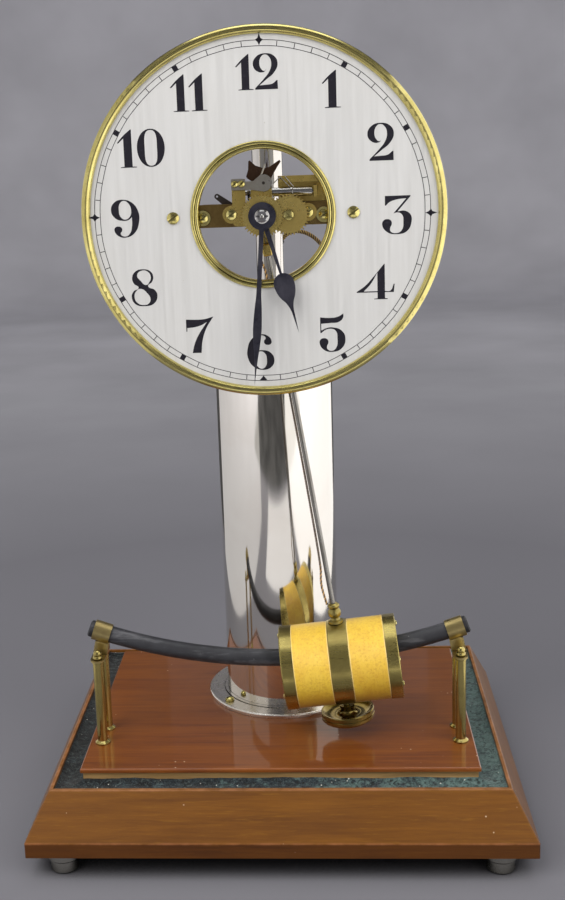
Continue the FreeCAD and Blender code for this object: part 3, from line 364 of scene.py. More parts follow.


# Each metal's colour, or the name of its setting; its roughness, polished and
# dull; its tarnish and the share of it. Some go on with the scale of the fine
# marks along each axis, the depth of the dents, and the height of a groove darkened with painted
# shade.
METALS = {
    # The turned feet have painted shade along the groove at their step.
    "turned feet": ((0.43, 0.42, 0.37), (0.16, 0.30), (0.17, 0.155, 0.12), 0.5,
                    (40, 40, 900), 1.0, FOOT_GROOVE_Z),
    "aged brass": ("aged_brass", (0.24, 0.42), (0.115, 0.075, 0.022), 0.75),
    "satin nickel": ((0.90, 0.86, 0.79), (0.20, 0.34), (0.70, 0.63, 0.52), 0.3,
                     (24, 24, 24), 0.04),
    "lacquered brass": ("bright_brass", (0.15, 0.27), (0.50, 0.40, 0.10), 0.5,
                        (22, 22, 22), 0.35),
    "movement brass": ((0.78, 0.59, 0.17), (0.22, 0.38), (0.33, 0.22, 0.06), 0.5),
    "wheel brass": ((0.90, 0.70, 0.22), (0.20, 0.36), (0.40, 0.27, 0.07), 0.5),
    # The bar's brass is a darker copy of the movement brass: painted shade.
    "shaded bar brass": ((0.33, 0.23, 0.08), (0.26, 0.40), (0.10, 0.05, 0.02), 0.6),
    "polished steel": ("steel", (0.12, 0.24), (0.22, 0.20, 0.18), 0.3),
    "dark steel": ((0.10, 0.085, 0.075), (0.30, 0.45), (0.035, 0.025, 0.02), 0.6),
    "browned steel": ((0.105, 0.060, 0.036), (0.26, 0.40), (0.035, 0.020, 0.013), 0.6),
    "grey steel": ((0.46, 0.44, 0.38), (0.28, 0.42), (0.24, 0.21, 0.15), 0.5),
    "rod steel": ((0.33, 0.32, 0.295), (0.22, 0.36), (0.17, 0.15, 0.12), 0.5, (90, 90, 10)),
    "blued steel": ("blued", (0.26, 0.42), (0.17, 0.165, 0.20), 0.6),
    "bright nut": ((0.54, 0.53, 0.52), (0.12, 0.22), (0.24, 0.22, 0.20), 0.35),
    "post brass": ((0.62, 0.51, 0.18), (0.13, 0.26), (0.22, 0.16, 0.05), 0.6, (80, 80, 6)),
    "saddle brass": ((0.55, 0.44, 0.19), (0.26, 0.42), (0.20, 0.14, 0.06), 0.6),
    "coil brass": ((0.52, 0.43, 0.14), (0.22, 0.36), (0.21, 0.155, 0.05), 0.6,
                   (6, 90, 90), 0.6),
    "saucer brass": ((0.32, 0.24, 0.07), (0.16, 0.30), (0.10, 0.07, 0.02), 0.7),
}


def metal_finish(name, colour, rough, tarnish, share, streak=(60, 60, 60), dents=1.0,
                 groove=None):
    """Metal with patches of tarnish, fine marks and uneven polish, and painted
    shade in its nooks and in a groove."""
    made = Finish(name, colour)
    patches = made.noise(70.0, 5.0, 0.6, 0.4)
    fine = made.noise(14.0, 3.0, 0.6, place=made.stretch(streak))
    marks = made.noise(900.0, 2.0, 0.5)
    made.stain(tarnish, patches, 0.40, 0.70, share)
    made.layer(made.span(fine, 0.0, 0.18, 0.35, 0.7), tarnish)
    if groove is not None:
        # Painted shade: a dark line along the groove.
        away = made.gap(made.axes()[2], groove)
        made.layer(made.span(away, 0.85, 0.0, 0.15 * MM, 0.5 * MM), 0.01)
    # Painted shade: darker where the surface is shut in, as in screw slots and nooks.
    made.stain(0.012, made.nook(0.7 * MM, 6), 0.78, 0.45, 0.92)
    rub = made.math("MULTIPLY", made.span(patches, *rough, 0.3, 0.7),
                    made.span(fine, 0.85, 1.15, 0.3, 0.7))
    relief = made.bump(fine, 0.004 * MM, 0.4 * dents)
    return made.done(Metallic=1.0, Roughness=rub,
                     Normal=made.bump(marks, 0.003 * MM, 0.3 * dents, relief))


def dress_metals(parts):
    """Gives CAD nodes a metal of the table, laid out when it is first used."""
    for name, nodes in parts.items():
        material = bpy.data.materials.get(name)
        if not material:
            colour, *rest = METALS[name]
            if isinstance(colour, str):
                colour = getattr(bpy.context.scene.clock_metal, colour)
            material = metal_finish(name, colour, *rest)
        dress(material, nodes)


def mirror_finish(name, colour):
    """Bright nickel plate with faint clouding, pin marks and rubbed lines."""
    made = Finish(name, colour)
    cloud = made.noise(26.0, 4.0, 0.55, 0.3)
    lines = made.grain((420.0, 420.0, 9.0), 3.0, 0.6)
    made.stain((0.62, 0.55, 0.47), cloud, 0.45, 0.8, 0.35)
    made.fleck((0.30, 0.24, 0.18), 190.0, (0.055, 0.03, 0.5),
               made.noise(40.0, 2.0), (0.58, 0.64, 1.0))
    return made.done(Metallic=1.0, Roughness=made.span(cloud, 0.035, 0.11, 0.3, 0.75),
                     Normal=made.bump(lines, 0.004 * MM, 0.35))


def silvered_finish(name, colour):
    """Matt silvered dial, faintly brushed upright, with a little age."""
    made = Finish(name, colour)
    brush = made.grain((900.0, 60.0, 26.0), 3.0, 0.6)
    cloud = made.noise(22.0, 4.0, 0.6, 0.5)
    grit = made.noise(1500.0, 2.0, 0.6)
    made.stain((0.58, 0.57, 0.54), cloud, 0.42, 0.8, 0.4)
    made.layer(made.span(brush, 0.0, 0.22, 0.35, 0.7), 0.74)
    made.fleck((0.36, 0.31, 0.24), 130.0, (0.04, 0.02, 0.6), cloud, (0.5, 0.58, 1.0))
    x, _, z = made.axes()
    out = made.radius(x, made.math("SUBTRACT", z, DIAL_Z))
    made.layer(made.span(out, 0.0, 0.12, 66 * MM, 74 * MM), (0.47, 0.44, 0.37))
    return made.done(
        Metallic=0.35, Roughness=made.span(brush, 0.42, 0.56, 0.3, 0.7),
        Normal=made.bump(grit, 0.012 * MM, 0.5, made.bump(brush, 0.008 * MM, 0.4)))


def ink_finish(name, colour):
    """Black print with a soft gloss and slightly uneven cover."""
    made = Finish(name, colour)
    cover = made.noise(500.0, 3.0, 0.6)
    made.stain((0.03, 0.028, 0.04), cover, 0.55, 0.75, 0.5)
    return made.done(Roughness=made.span(cover, 0.45, 0.6), Specular_IOR_Level=0.15,
                     Normal=made.bump(cover, 0.01 * MM, 0.3))


def magnet_finish(name):
    """Black japanned steel, rubbed grey along its length."""
    made = Finish(name)
    scuffs = made.grain((40.0, 260.0, 260.0), 6.0, 0.7, 0.4)
    patches = made.noise(60.0, 4.0, 0.6)
    dents = made.noise(230.0, 4.0, 0.6)
    made.colour = made.ramp(patches, (0.3, (0.010, 0.010, 0.012)), (0.75, (0.030, 0.031, 0.036)))
    made.stain((0.11, 0.11, 0.12), scuffs, 0.52, 0.68, 0.6)
    made.stain(0.30, made.cells(260.0), 0.06, 0.03, 0.5)
    return made.done(
        Roughness=made.span(scuffs, 0.34, 0.58, 0.3, 0.7), Specular_IOR_Level=0.42,
        Normal=made.bump(dents, 0.15 * MM, 0.5, made.bump(scuffs, 0.06 * MM, 0.5)))


def felt_finish(name):
    """Old blue-black felt, fuzzy, lighter and greener towards the right, and
    flecked with lint."""
    made = Finish(name)
    fuzz = made.noise(2600.0, 3.0, 0.8)
    tufts = made.noise(480.0, 5.0, 0.75, 1.2)
    toward_right = made.span(made.axes()[0], -0.15, 0.19, -90 * MM, 90 * MM)
    tone_across = made.math("ADD", made.noise(130.0, 6.0, 0.75), toward_right)
    made.colour = made.ramp(tone_across, (0.35, (0.005, 0.006, 0.007)),
                            (0.52, (0.016, 0.024, 0.030)), (0.66, (0.070, 0.115, 0.108)))
    made.stain(0.003, tufts, 0.52, 0.38, 0.9)
    made.stain((0.15, 0.20, 0.19), tufts, 0.54, 0.72, 0.5)
    made.stain((0.19, 0.21, 0.20), fuzz, 0.55, 0.75, 0.55)
    made.fleck((0.60, 0.60, 0.55), 300.0, (0.11, 0.06, 0.9),
               made.noise(60.0, 3.0), (0.48, 0.54, 1.0))
    return made.done(
        Roughness=0.95, Sheen_Weight=0.15, Sheen_Roughness=0.5, Specular_IOR_Level=0.1,
        Normal=made.bump(fuzz, 0.15 * MM, 0.7, made.bump(tufts, 0.3 * MM, 0.7)))


def silk_finish(name, light, shade, wire, centre):
    """Golden silk wound round the coil, each turn a little different, with painted
    shade between the turns and on the underside, and frayed pale at both ends of a winding."""
    made = Finish(name, light)
    centred = made.stretch((1, 1, 1), shift=tuple(-c for c in centre))
    x, _, z = made.axes(made.stretch((1, 1, 1), (0, COIL_LEAN, 0), source=centred))
    turn = made.math("DIVIDE", x, wire)
    each = made.add("TexWhiteNoise", {"W": made.math("FLOOR", turn)},
                    noise_dimensions="1D").outputs["Value"]
    rise = made.math("ABSOLUTE", made.math("SINE", made.math("MULTIPLY", turn, math.pi)))
    fibre = made.grain((3000.0, 500.0, 500.0), 3.0, 0.7)
    weave = made.noise(900.0, 3.0, 0.7)
    # Painted shade in the dips between the turns.
    made.stain(shade, rise, 0.55, 0.0, 0.8)
    made.layer(made.span(each, 0.0, 0.22), (0.80, 0.57, 0.10))
    made.stain((0.54, 0.27, 0.012), made.noise(60.0, 6.0, 0.65, 0.4), 0.42, 0.70, 0.6)
    # Painted shade: darker towards the underside of the coil.
    made.layer(made.span(z, 0.75, 0.0, -COIL_R, -0.25 * COIL_R), (0.42, 0.175, 0.006))
    made.stain(shade, weave, 0.52, 0.36, 0.5)
    made.stain((0.85, 0.66, 0.24), fibre, 0.6, 0.8, 0.35)
    far, fray = made.math("ABSOLUTE", x), 0.6 * MM
    ends = made.math("ADD", made.span(far, 0.8, 0.0, BAND_HALF, BAND_HALF + fray),
                     made.span(far, 0.0, 0.8, CAP_START - fray, CAP_START))
    made.layer(ends, (0.86, 0.70, 0.34))
    return made.done(
        Roughness=0.36, Sheen_Weight=0.1, Sheen_Roughness=0.35, Specular_IOR_Level=0.7,
        Normal=made.bump(fibre, 0.03 * MM, 0.5, made.bump(weave, 0.05 * MM, 0.5)))


def thread_finish(name, light, dark, dull=None):
    """Cotton thread with lint and grime, rubbed dull between two heights."""
    made = Finish(name, light)
    lint = made.noise(2200.0, 3.0, 0.7)
    if dull:
        (low, high), fade, z = dull, 6 * MM, made.axes()[2]
        rubbed = made.math("MULTIPLY", made.span(z, 0.0, 1.0, low, low + fade),
                           made.span(z, 1.0, 0.0, high - fade, high))
        made.layer(rubbed, (0.15, 0.13, 0.105))
    made.stain(dark, made.noise(160.0, 3.0, 0.6), 0.4, 0.8, 0.7)
    made.layer(made.span(lint, 0.0, 0.4, 0.5, 0.8), dark)
    return made.done(Roughness=0.85, Sheen_Weight=0.3, Sheen_Roughness=0.5,
                     Normal=made.bump(lint, 0.06 * MM, 0.6))


def moulded_finish(name, colour, rough):
    """Varnished or moulded insulation with a faint grain."""
    made = Finish(name)
    grain = made.noise(350.0, 4.0, 0.6)
    paler = tuple(min(1.0, c * 1.8 + 0.01) for c in colour)
    made.colour = made.ramp(grain, (0.4, colour), (0.75, paler))
    return made.done(Roughness=made.span(grain, rough, rough + 0.15, 0.35, 0.7),
                     Normal=made.bump(grain, 0.02 * MM, 0.4))


# Pieces


class ClockPiece:
    bl_options = {"REGISTER", "UNDO"}


class CLOCK_OT_base(ClockPiece, Operator):
    """Finishes the plinth, its polished board and the feet"""

    bl_idname = "clock.base"
    bl_label = "Wooden Base"

    def execute(self, context):
        wood = context.scene.clock_wood
        low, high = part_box("plinth")
        dress(wood_finish("plinth mahogany", wood.plinth_dark, wood.plinth_light,
                          wood.gloss * 0.3, low.z, high.z), "plinth")
        dress(wood_finish("polished board", wood.board_dark, wood.board_light,
                          wood.gloss, None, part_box("platform_board")[1].z), "platform_board")
        dress_metals({"turned feet": "base_feet"})
        return {"FINISHED"}


def felt_height(x, y, outer, inner, low, high):
    """Felt stands up at both edges of the groove and sags between them."""
    to_rim = min(outer[0] - abs(x), outer[1] - abs(y))
    from_board = max(abs(x) - inner[0], abs(y) - inner[1])
    across = from_board / max(to_rim + from_board, 1e-6)
    dip = (2 * across - 1) ** 2
    coarse = noise.noise(Vector((x, y, 0.0)) * 70)
    fine = noise.noise(Vector((x, y, 3.0)) * 330)
    level = 0.32 + 0.40 * dip + 0.14 * coarse + 0.05 * fine
    return low + (high - low) * min(max(level, 0.05), 1.0)


class CLOCK_OT_felt(ClockPiece, Operator):
    """Lays old felt in the groove round the board"""

    bl_idname = "clock.felt"
    bl_label = "Groove Felt"

    def execute(self, context):
        step, lip, thin = 0.7 * MM, 1.2 * MM, 0.4 * MM
        low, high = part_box("groove_felt")
        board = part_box("platform_board")[1]
        outer, inner = high.xy, (board.x - lip, board.y - lip)
        mesh = bmesh.new()
        bmesh.ops.create_grid(mesh, x_segments=round(2 * outer[0] / step),
                              y_segments=round(2 * outer[1] / step), size=1.0)
        bmesh.ops.scale(mesh, vec=(*outer, 1.0), verts=mesh.verts)
        middle = [f for f in mesh.faces
                  if all(abs(f.calc_center_median()[k]) < inner[k] for k in (0, 1))]
        bmesh.ops.delete(mesh, geom=middle, context="FACES")
        for vert in mesh.verts:
            beside = all(abs(vert.co[k]) < inner[k] + step for k in (0, 1))
            for k in (0, 1):
                if beside and abs(abs(vert.co[k]) - inner[k]) < step:
                    vert.co[k] = math.copysign(inner[k], vert.co[k])
        top = list(mesh.verts)
        under = bmesh.ops.extrude_face_region(mesh, geom=mesh.faces[:], use_keep_orig=True)
        for vert in under["geom"]:
            if isinstance(vert, bmesh.types.BMVert):
                vert.co.z = low.z
        for vert in top:
            vert.co.z = felt_height(*vert.co.xy, outer, inner, low.z + thin, high.z)
        bmesh.ops.recalc_face_normals(mesh, faces=mesh.faces)
        felt = piece("groove_velvet", mesh, "frame", felt_finish("old felt"))
        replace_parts(smooth(felt), "groove_felt")
        return {"FINISHED"}


class CLOCK_OT_column(ClockPiece, Operator):
    """Finishes the plated column and neck, with the cell and its strap"""

    bl_idname = "clock.column"
    bl_label = "Column"

    def execute(self, context):
        dress(mirror_finish("bright nickel", context.scene.clock_metal.nickel),
              "column_tube neck_tube")
        dress_metals({"satin nickel": "column_flange column_shoulder",
                      "aged brass": "neck_yoke bar_arms cell_contact battery_strap"})
        dress(moulded_finish("cell jacket", (0.20, 0.15, 0.09), 0.55), "dry_cell")
        dress(moulded_finish("black bush", (0.010, 0.010, 0.011), 0.3), "lead_bushes")
        return {"FINISHED"}


class CLOCK_OT_rims(ClockPiece, Operator):
    """Finishes the silvered dial and its turned brass rims"""

    bl_idname = "clock.rims"
    bl_label = "Dial and Rims"

    def execute(self, context):
        dress_metals({"lacquered brass": "bezel window_ring dial_screws base_screws "
                                         "bar_screws movement_screws"})
        dress(silvered_finish("silvered dial", context.scene.clock_dial.silver), "dial_plate")
        return {"FINISHED"}


EM = 1000

# Outlines of the numbers, in thousandths of their height. Each contour is a
# list of (across, up) points, and a third value marks a sharp corner.
FIGURES = {
    "0": [
        [(0, 1000), (357, 500), (0, 0), (-357, 500)],
        [(0, 968), (158, 500), (0, 32), (-158, 500)],
    ],
    "1": [
        [(-105, 30, 1), (-200, 20, 1), (-200, 0, 1), (215, 0, 1), (215, 20, 1), (105, 30, 1),
         (105, 1000, 1), (85, 1000, 1), (-105, 840), (-270, 660, 1), (-245, 640, 1),
         (-105, 770, 1)],
    ],
    "2": [
        [(45, 565, 1), (-50, 482), (-230, 515), (-335, 700), (-245, 910), (0, 1000), (255, 915),
         (345, 710), (240, 460), (30, 280), (-170, 115, 1), (0, 128), (180, 150), (305, 245, 1),
         (330, 245, 1), (335, 0, 1), (-290, 0, 1), (-285, 45, 1), (-30, 310), (120, 510),
         (170, 710), (120, 890), (0, 968), (-110, 900), (-155, 720), (-110, 575), (-30, 515)],
    ],
    "3": [
        [(-290, 1000, 1), (345, 1000, 1), (345, 975, 1), (20, 590, 1), (200, 605), (345, 500),
         (370, 330), (250, 70), (0, 0), (-240, 60), (-365, 260), (-330, 365), (-235, 400),
         (-145, 360), (-125, 270), (-165, 170), (-160, 85), (0, 30), (120, 100), (165, 330),
         (130, 510), (30, 565), (-80, 545, 1), (240, 925, 1), (0, 900), (-180, 835),
         (-265, 750, 1), (-290, 750, 1)],
    ],
    "4": [
        [(245, 1000, 1), (262, 1000, 1), (262, 232, 1), (410, 240), (500, 430, 1), (525, 430, 1),
         (500, 195, 1), (262, 200, 1), (262, 30, 1), (335, 20, 1), (335, 0, 1), (-30, 0, 1),
         (-30, 20, 1), (62, 30, 1), (62, 200, 1), (-500, 200, 1), (-500, 225, 1), (-260, 400),
         (-30, 660)],
        [(62, 760, 1), (62, 232, 1), (-310, 232, 1), (-120, 440)],
    ],
    "5": [
        [(-300, 925, 1), (-60, 905), (140, 930), (285, 1010, 1), (275, 900), (170, 795),
         (-50, 770), (-275, 755, 1), (-275, 575, 1), (-150, 635), (20, 650), (235, 560),
         (325, 345), (230, 90), (0, 0), (-220, 60), (-325, 240), (-300, 335), (-215, 370),
         (-125, 335), (-105, 250), (-140, 160), (-135, 85), (-10, 30), (90, 110), (125, 345),
         (85, 560), (-30, 615), (-170, 590), (-275, 510, 1), (-300, 510, 1)],
    ],
    "7": [
        [(-360, 935, 1), (-335, 935, 1), (-100, 925), (120, 935), (365, 1000, 1), (170, 680),
         (60, 360), (15, 0, 1), (-220, 0, 1), (-160, 240), (-60, 470), (190, 855, 1), (30, 765),
         (-160, 715), (-335, 700, 1), (-335, 600, 1), (-360, 600, 1)],
    ],
    "8": [
        [(-300, 755), (-225, 930), (-10, 1000), (185, 935), (250, 785), (205, 645), (105, 545),
         (275, 430), (335, 275), (235, 65), (0, 0), (-245, 60), (-335, 250), (-280, 410),
         (-145, 505), (-255, 610)],
        [(-165, 850), (-20, 968), (135, 910), (185, 790), (155, 670), (55, 575), (-80, 685)],
        [(-265, 255), (-220, 400), (-100, 475), (85, 335), (150, 190), (105, 75), (0, 32),
         (-190, 90)],
    ],
    "9": [
        [(-360, 735), (-270, 930), (-50, 1000), (200, 900), (340, 650), (345, 420), (220, 120),
         (-20, 0), (-220, 60), (-300, 200), (-280, 270), (-200, 300), (-120, 270), (-100, 195),
         (-145, 100), (-20, 30), (90, 100), (155, 300), (165, 535, 1), (80, 465), (-60, 445),
         (-265, 520)],
        [(-160, 720), (-120, 910), (-20, 968), (90, 900), (155, 720), (110, 545), (-10, 477),
         (-120, 545)],
    ],
}
FIGURES["6"] = [[(-x, EM - y, *corner) for x, y, *corner in contour]
                for contour in FIGURES["9"]]

# Each figure of the hours: its name, place across and up from the dial's
# centre, and height, in millimetres
PLACES = [
    ("1", -5.2, 56.65, 13.9), ("2", 2.85, 56.65, 13.9), ("1", 29.4, 48.8, 14.6),
    ("2", 48.3, 27.5, 14.8), ("3", 54.5, -1.8, 15.5), ("4", 45.4, -28.7, 14.5),
    ("5", 27.4, -49.5, 15.8), ("6", -2.8, -56.7, 15.1), ("7", -27.9, -48.7, 15.2),
    ("8", -50.5, -28.2, 15.4), ("9", -56.7, 0.5, 15.5), ("1", -54.2, 28.6, 15.2),
    ("0", -44.7, 28.6, 15.2), ("1", -31.6, 49.6, 14.5), ("1", -24.2, 49.6, 14.5),
]


def figure_curve(name):
    """Empty flat curve, in millimetres, that fills its contours into thin print."""
    curve = bpy.data.curves.new(name, "CURVE")
    curve.dimensions = "2D"
    curve.fill_mode = "BOTH"
    curve.resolution_u = 10
    curve.extrude = 0.02
    return curve


def add_contour(curve, points, place):
    spline = curve.splines.new("BEZIER")
    spline.use_cyclic_u = True
    spline.bezier_points.add(len(points) - 1)
    for knot, (x, y, *corner) in zip(spline.bezier_points, points):
        knot.co = (*place(x, y), 0.0)
        knot.handle_left_type = knot.handle_right_type = "VECTOR" if corner else "AUTO"


def drawn_mesh(curve):
    """The mesh that a curve draws. The curve itself goes."""
    drawn = placed(curve.name, curve)
    bpy.context.view_layer.update()
    mesh = bpy.data.meshes.new_from_object(
        drawn.evaluated_get(bpy.context.evaluated_depsgraph_get()))
    bpy.data.objects.remove(drawn)
    bpy.data.curves.remove(curve)
    return mesh


def printed(curve, name, material):
    """Turns a flat curve into print on the dial's face."""
    proud = 0.015 * MM
    mesh = drawn_mesh(curve)
    stand = Matrix.Translation((0, DIAL_FACE_Y - proud, DIAL_Z))
    mesh.transform(stand @ Matrix.Rotation(QUARTER_TURN, 4, "X") @ Matrix.Scale(MM, 4))
    return piece(name, mesh, "frame", material)


class CLOCK_OT_numbers(ClockPiece, Operator):
    """Prints the numbers one to twelve on the dial"""

    bl_idname = "clock.numbers"
    bl_label = "Dial Numbers"

    def execute(self, context):
        dial = context.scene.clock_dial
        curve = figure_curve("numbers")
        for figure, x, z, high in PLACES:
            high *= dial.numeral_size
            wide = high * dial.numeral_width
            for contour in FIGURES[figure]:
                add_contour(curve, contour,
                            lambda a, b: (x + a / EM * wide, z + (b / EM - 0.5) * high))
        printed(curve, "dial_numbers", ink_finish("dial ink", dial.ink))
        return {"FINISHED"}


class CLOCK_OT_track(ClockPiece, Operator):
    """Prints the minute track round the numbers"""

    bl_idname = "clock.track"
    bl_label = "Minute Track"

    def execute(self, context):
        dial = context.scene.clock_dial
        ink = bpy.data.materials["dial ink"]
        outer = dial.track_radius / MM
        inner = outer - dial.track_width / MM
        shift = dial.track_shift / MM
        line, clear = 0.26, 0.02
        lines = figure_curve("track")
        for radius in (outer, outer - line, inner, inner - line):
            turns = [math.radians(angle) for angle in range(0, 360, 15)]
            ring = [(radius * math.sin(turn) - shift, radius * math.cos(turn)) for turn in turns]
            add_contour(lines, ring, lambda x, y: (x, y))
        printed(lines, "minute_track", ink)
        marks = figure_curve("marks")
        for minute in range(60):
            turn = math.radians(6 * minute) + dial.track_turn
            mark = self.mark(minute, inner, outer, line, clear)
            add_contour(marks, mark, lambda a, r: (
                r * math.sin(turn) + a * math.cos(turn) - shift,
                r * math.cos(turn) - a * math.sin(turn)))
        printed(marks, "minute_marks", ink)
        return {"FINISHED"}

    def mark(self, minute, inner, outer, line, clear):
        """A triangle at thirty, stars at the other quarters, bars at the fives
        and ticks between, as points across and out."""
        tick, bar, triangle, star, point, waist = 0.15, 1.05, 1.6, 1.6, 2.6, 0.62
        low, high = inner + clear, outer - line - clear
        if minute == 30:
            corners = [(-triangle, high), (triangle, high), (0, low)]
        elif minute % 15 == 0:
            above, below = outer + waist, outer - waist - line
            corners = [(0, outer + point), (waist, above), (star, outer), (waist, below),
                       (0, inner), (-waist, below), (-star, outer), (-waist, above)]
        else:
            half = tick if minute % 5 else bar
            corners = [(-half, low), (-half, high), (half, high), (half, low)]
        return [(*corner, 1) for corner in corners]


class CLOCK_OT_movement(ClockPiece, Operator):
    """Finishes the movement that shows in the dial's window"""

    bl_idname = "clock.movement"
    bl_label = "Movement"

    def execute(self, context):
        dress_metals({
            "movement brass": "front_plate movement_pillars worm_bracket suspension_block "
                              "pendulum_head",
            "lacquered brass": "minute_stud",
            "wheel brass": "worm_wheel minute_wheel hour_wheel",
            # The movement bar gets painted shade through its darker brass.
            "shaded bar brass": "movement_bar",
            "polished steel": "centre_arbor cannon_pinion worm_arbor ratchet_wheel brake_springs",
            "dark steel": "fork_arbor pawl suspension_spring stop_lever",
            "browned steel": "fork",
            "grey steel": "fork_cock",
            "rod steel": "pendulum_rod",
        })
        return {"FINISHED"}


class CLOCK_OT_hands(ClockPiece, Operator):
    """Finishes the blued hands and their bright nut"""

    bl_idname = "clock.hands"
    bl_label = "Hands"

    def execute(self, context):
        dress_metals({"blued steel": "hour_hand minute_hand", "bright nut": "hand_nut"})
        return {"FINISHED"}


class CLOCK_OT_magnet(ClockPiece, Operator):
    """Finishes the bar magnet, its saddles and posts"""

    bl_idname = "clock.magnet"
    bl_label = "Magnet"

    def execute(self, context):
        dress(magnet_finish("black magnet"), "magnet_bar")
        dress_metals({"saddle brass": "magnet_saddles",
                      "post brass": "magnet_posts post_finials"})
        return {"FINISHED"}


class CLOCK_OT_coil(ClockPiece, Operator):
    """Winds the coil in silk-covered wire and finishes its fittings"""

    bl_idname = "clock.coil"
    bl_label = "Coil"

    def execute(self, context):
        coil = context.scene.clock_coil
        low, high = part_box("coil_bobbin")
        centre = (low + high) / 2
        lean = Matrix.Translation(centre) @ Matrix.Rotation(-COIL_LEAN, 4, "Y")
        silk = silk_finish("golden silk", coil.silk, coil.silk_shade, coil.wire, centre)
        for side, name in ((-1, "windings_left"), (1, "windings_right")):
            mesh = self.winding(side, coil.wire)
            mesh.transform(lean)
            made = smooth(piece(name, mesh, "pendulum", silk))
            if side < 0:
                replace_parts(made, "coil_windings")
        dress_metals({"coil brass": "coil_band coil_caps rod_nut",
                      "saucer brass": "rating_nut rating_washer",
                      "lacquered brass": "coil_screws"})
        dress(moulded_finish("bobbin tube", (0.03, 0.02, 0.012), 0.3), "coil_bobbin")
        return {"FINISHED"}

    def winding(self, side, wire):
        """One half of the coil along X about its own centre, spun from a
        profile that rises and dips with each turn of wire."""
        start, end = BAND_HALF, CAP_START
        points_a_turn, sunk, rise, unevenness = 4, 0.30 * MM, 0.12 * MM, 0.05 * MM
        count = round((end - start) / wire) * points_a_turn
        profile = []
        for index in range(count + 1):
            across = start + (end - start) * index / count
            wave = abs(math.sin(math.pi * index / points_a_turn))
            uneven = unevenness * noise.noise(Vector((across * 900, side, 0)))
            profile.append((side * across, 0, COIL_R - sunk + rise * wave + uneven))
        profile += [(side * end, 0, TUBE_R), (side * start, 0, TUBE_R)]
        return spun(profile, (1, 0, 0), 0.001 * MM, closed=True)


# Leads


def space_curve(name, kind, lines):
    """A curve in space with a spline along each list of points."""
    curve = bpy.data.curves.new(name, "CURVE")
    curve.dimensions = "3D"
    for line in lines:
        spline = curve.splines.new(kind)
        spline.points.add(len(line) - 1)
        for knot, point in zip(spline.points, line):
            knot.co = (*point, 1.0)
    return curve


def route_points(name, points):
    """Points along the smooth line through a lead's route."""
    curve = space_curve(name, "NURBS", [[[c * MM for c in point] for point in points]])
    curve.splines[0].order_u = 3
    curve.splines[0].use_endpoint_u = True
    curve.resolution_u = 24
    mesh = drawn_mesh(curve)
    line = [v.co.copy() for v in mesh.vertices]
    bpy.data.meshes.remove(mesh)
    return line


def evenly(line, step):
    """The same line with its points a fixed distance apart, and its length."""
    far = [0.0]
    for a, b in zip(line, line[1:]):
        far.append(far[-1] + (b - a).length)
    count = max(2, round(far[-1] / step))
    spaced, index = [], 0
    for k in range(count + 1):
        want = far[-1] * k / count
        while index < len(line) - 2 and far[index + 1] < want:
            index += 1
        share = (want - far[index]) / max(far[index + 1] - far[index], 1e-9)
        spaced.append(line[index].lerp(line[index + 1], min(max(share, 0.0), 1.0)))
    return spaced, far[-1]


def strands(name, lines, radius, body, material):
    """One smooth piece of round strands along lists of points."""
    curve = space_curve(name, "POLY", lines)
    curve.bevel_depth = radius
    curve.bevel_resolution = 1
    curve.use_fill_caps = True
    return smooth(piece(name, drawn_mesh(curve), body, material))


def helix(line, radius, pitch, start, hand):
    """A strand wound round a line, about a direction kept steady across it."""
    spaced, total = evenly(line, pitch / 10)
    last = len(spaced) - 1
    side, wound = Vector((0, 1, 0)), []
    for index, point in enumerate(spaced):
        ahead = (spaced[min(index + 1, last)] - spaced[max(index - 1, 0)]).normalized()
        side = (side - ahead * side.dot(ahead)).normalized()
        turn = start + hand * math.tau * total / last * index / pitch
        out = side * math.cos(turn) + ahead.cross(side) * math.sin(turn)
        wound.append(point + out * radius)
    return wound


# The leads' routes in the CAD model, in millimetres. The rod's is across and
# up, before the pendulum's swing about its pivot.
ROD_ROUTE = [(-1.9, 260.7), (-3.85, 260.7), (-3.05, 255.7), (-1.75, 249.7), (-1.75, 121.3),
             (-3.65, 112.3), (-3.25, 106.3), (-2.65, 101.5)]
SWING, SWING_Y, PIVOT_Z = math.radians(8.75), -33.5, 266.7
DULL_ROD_LEAD = (118 * MM, 226 * MM)
SUPPLY_ROUTE = [(5.4, 23.0, 260.4), (7.6, 24.1, 263.0), (11.4, 24.5, 264.3),
                (16.0, 24.1, 263.7), (20.6, 23.3, 261.2), (24.5, 22.3, 256.9),
                (26.9, 21.3, 251.1), (27.2, 20.3, 244.7), (25.2, 19.3, 238.5),
                (20.4, 18.5, 233.5)]


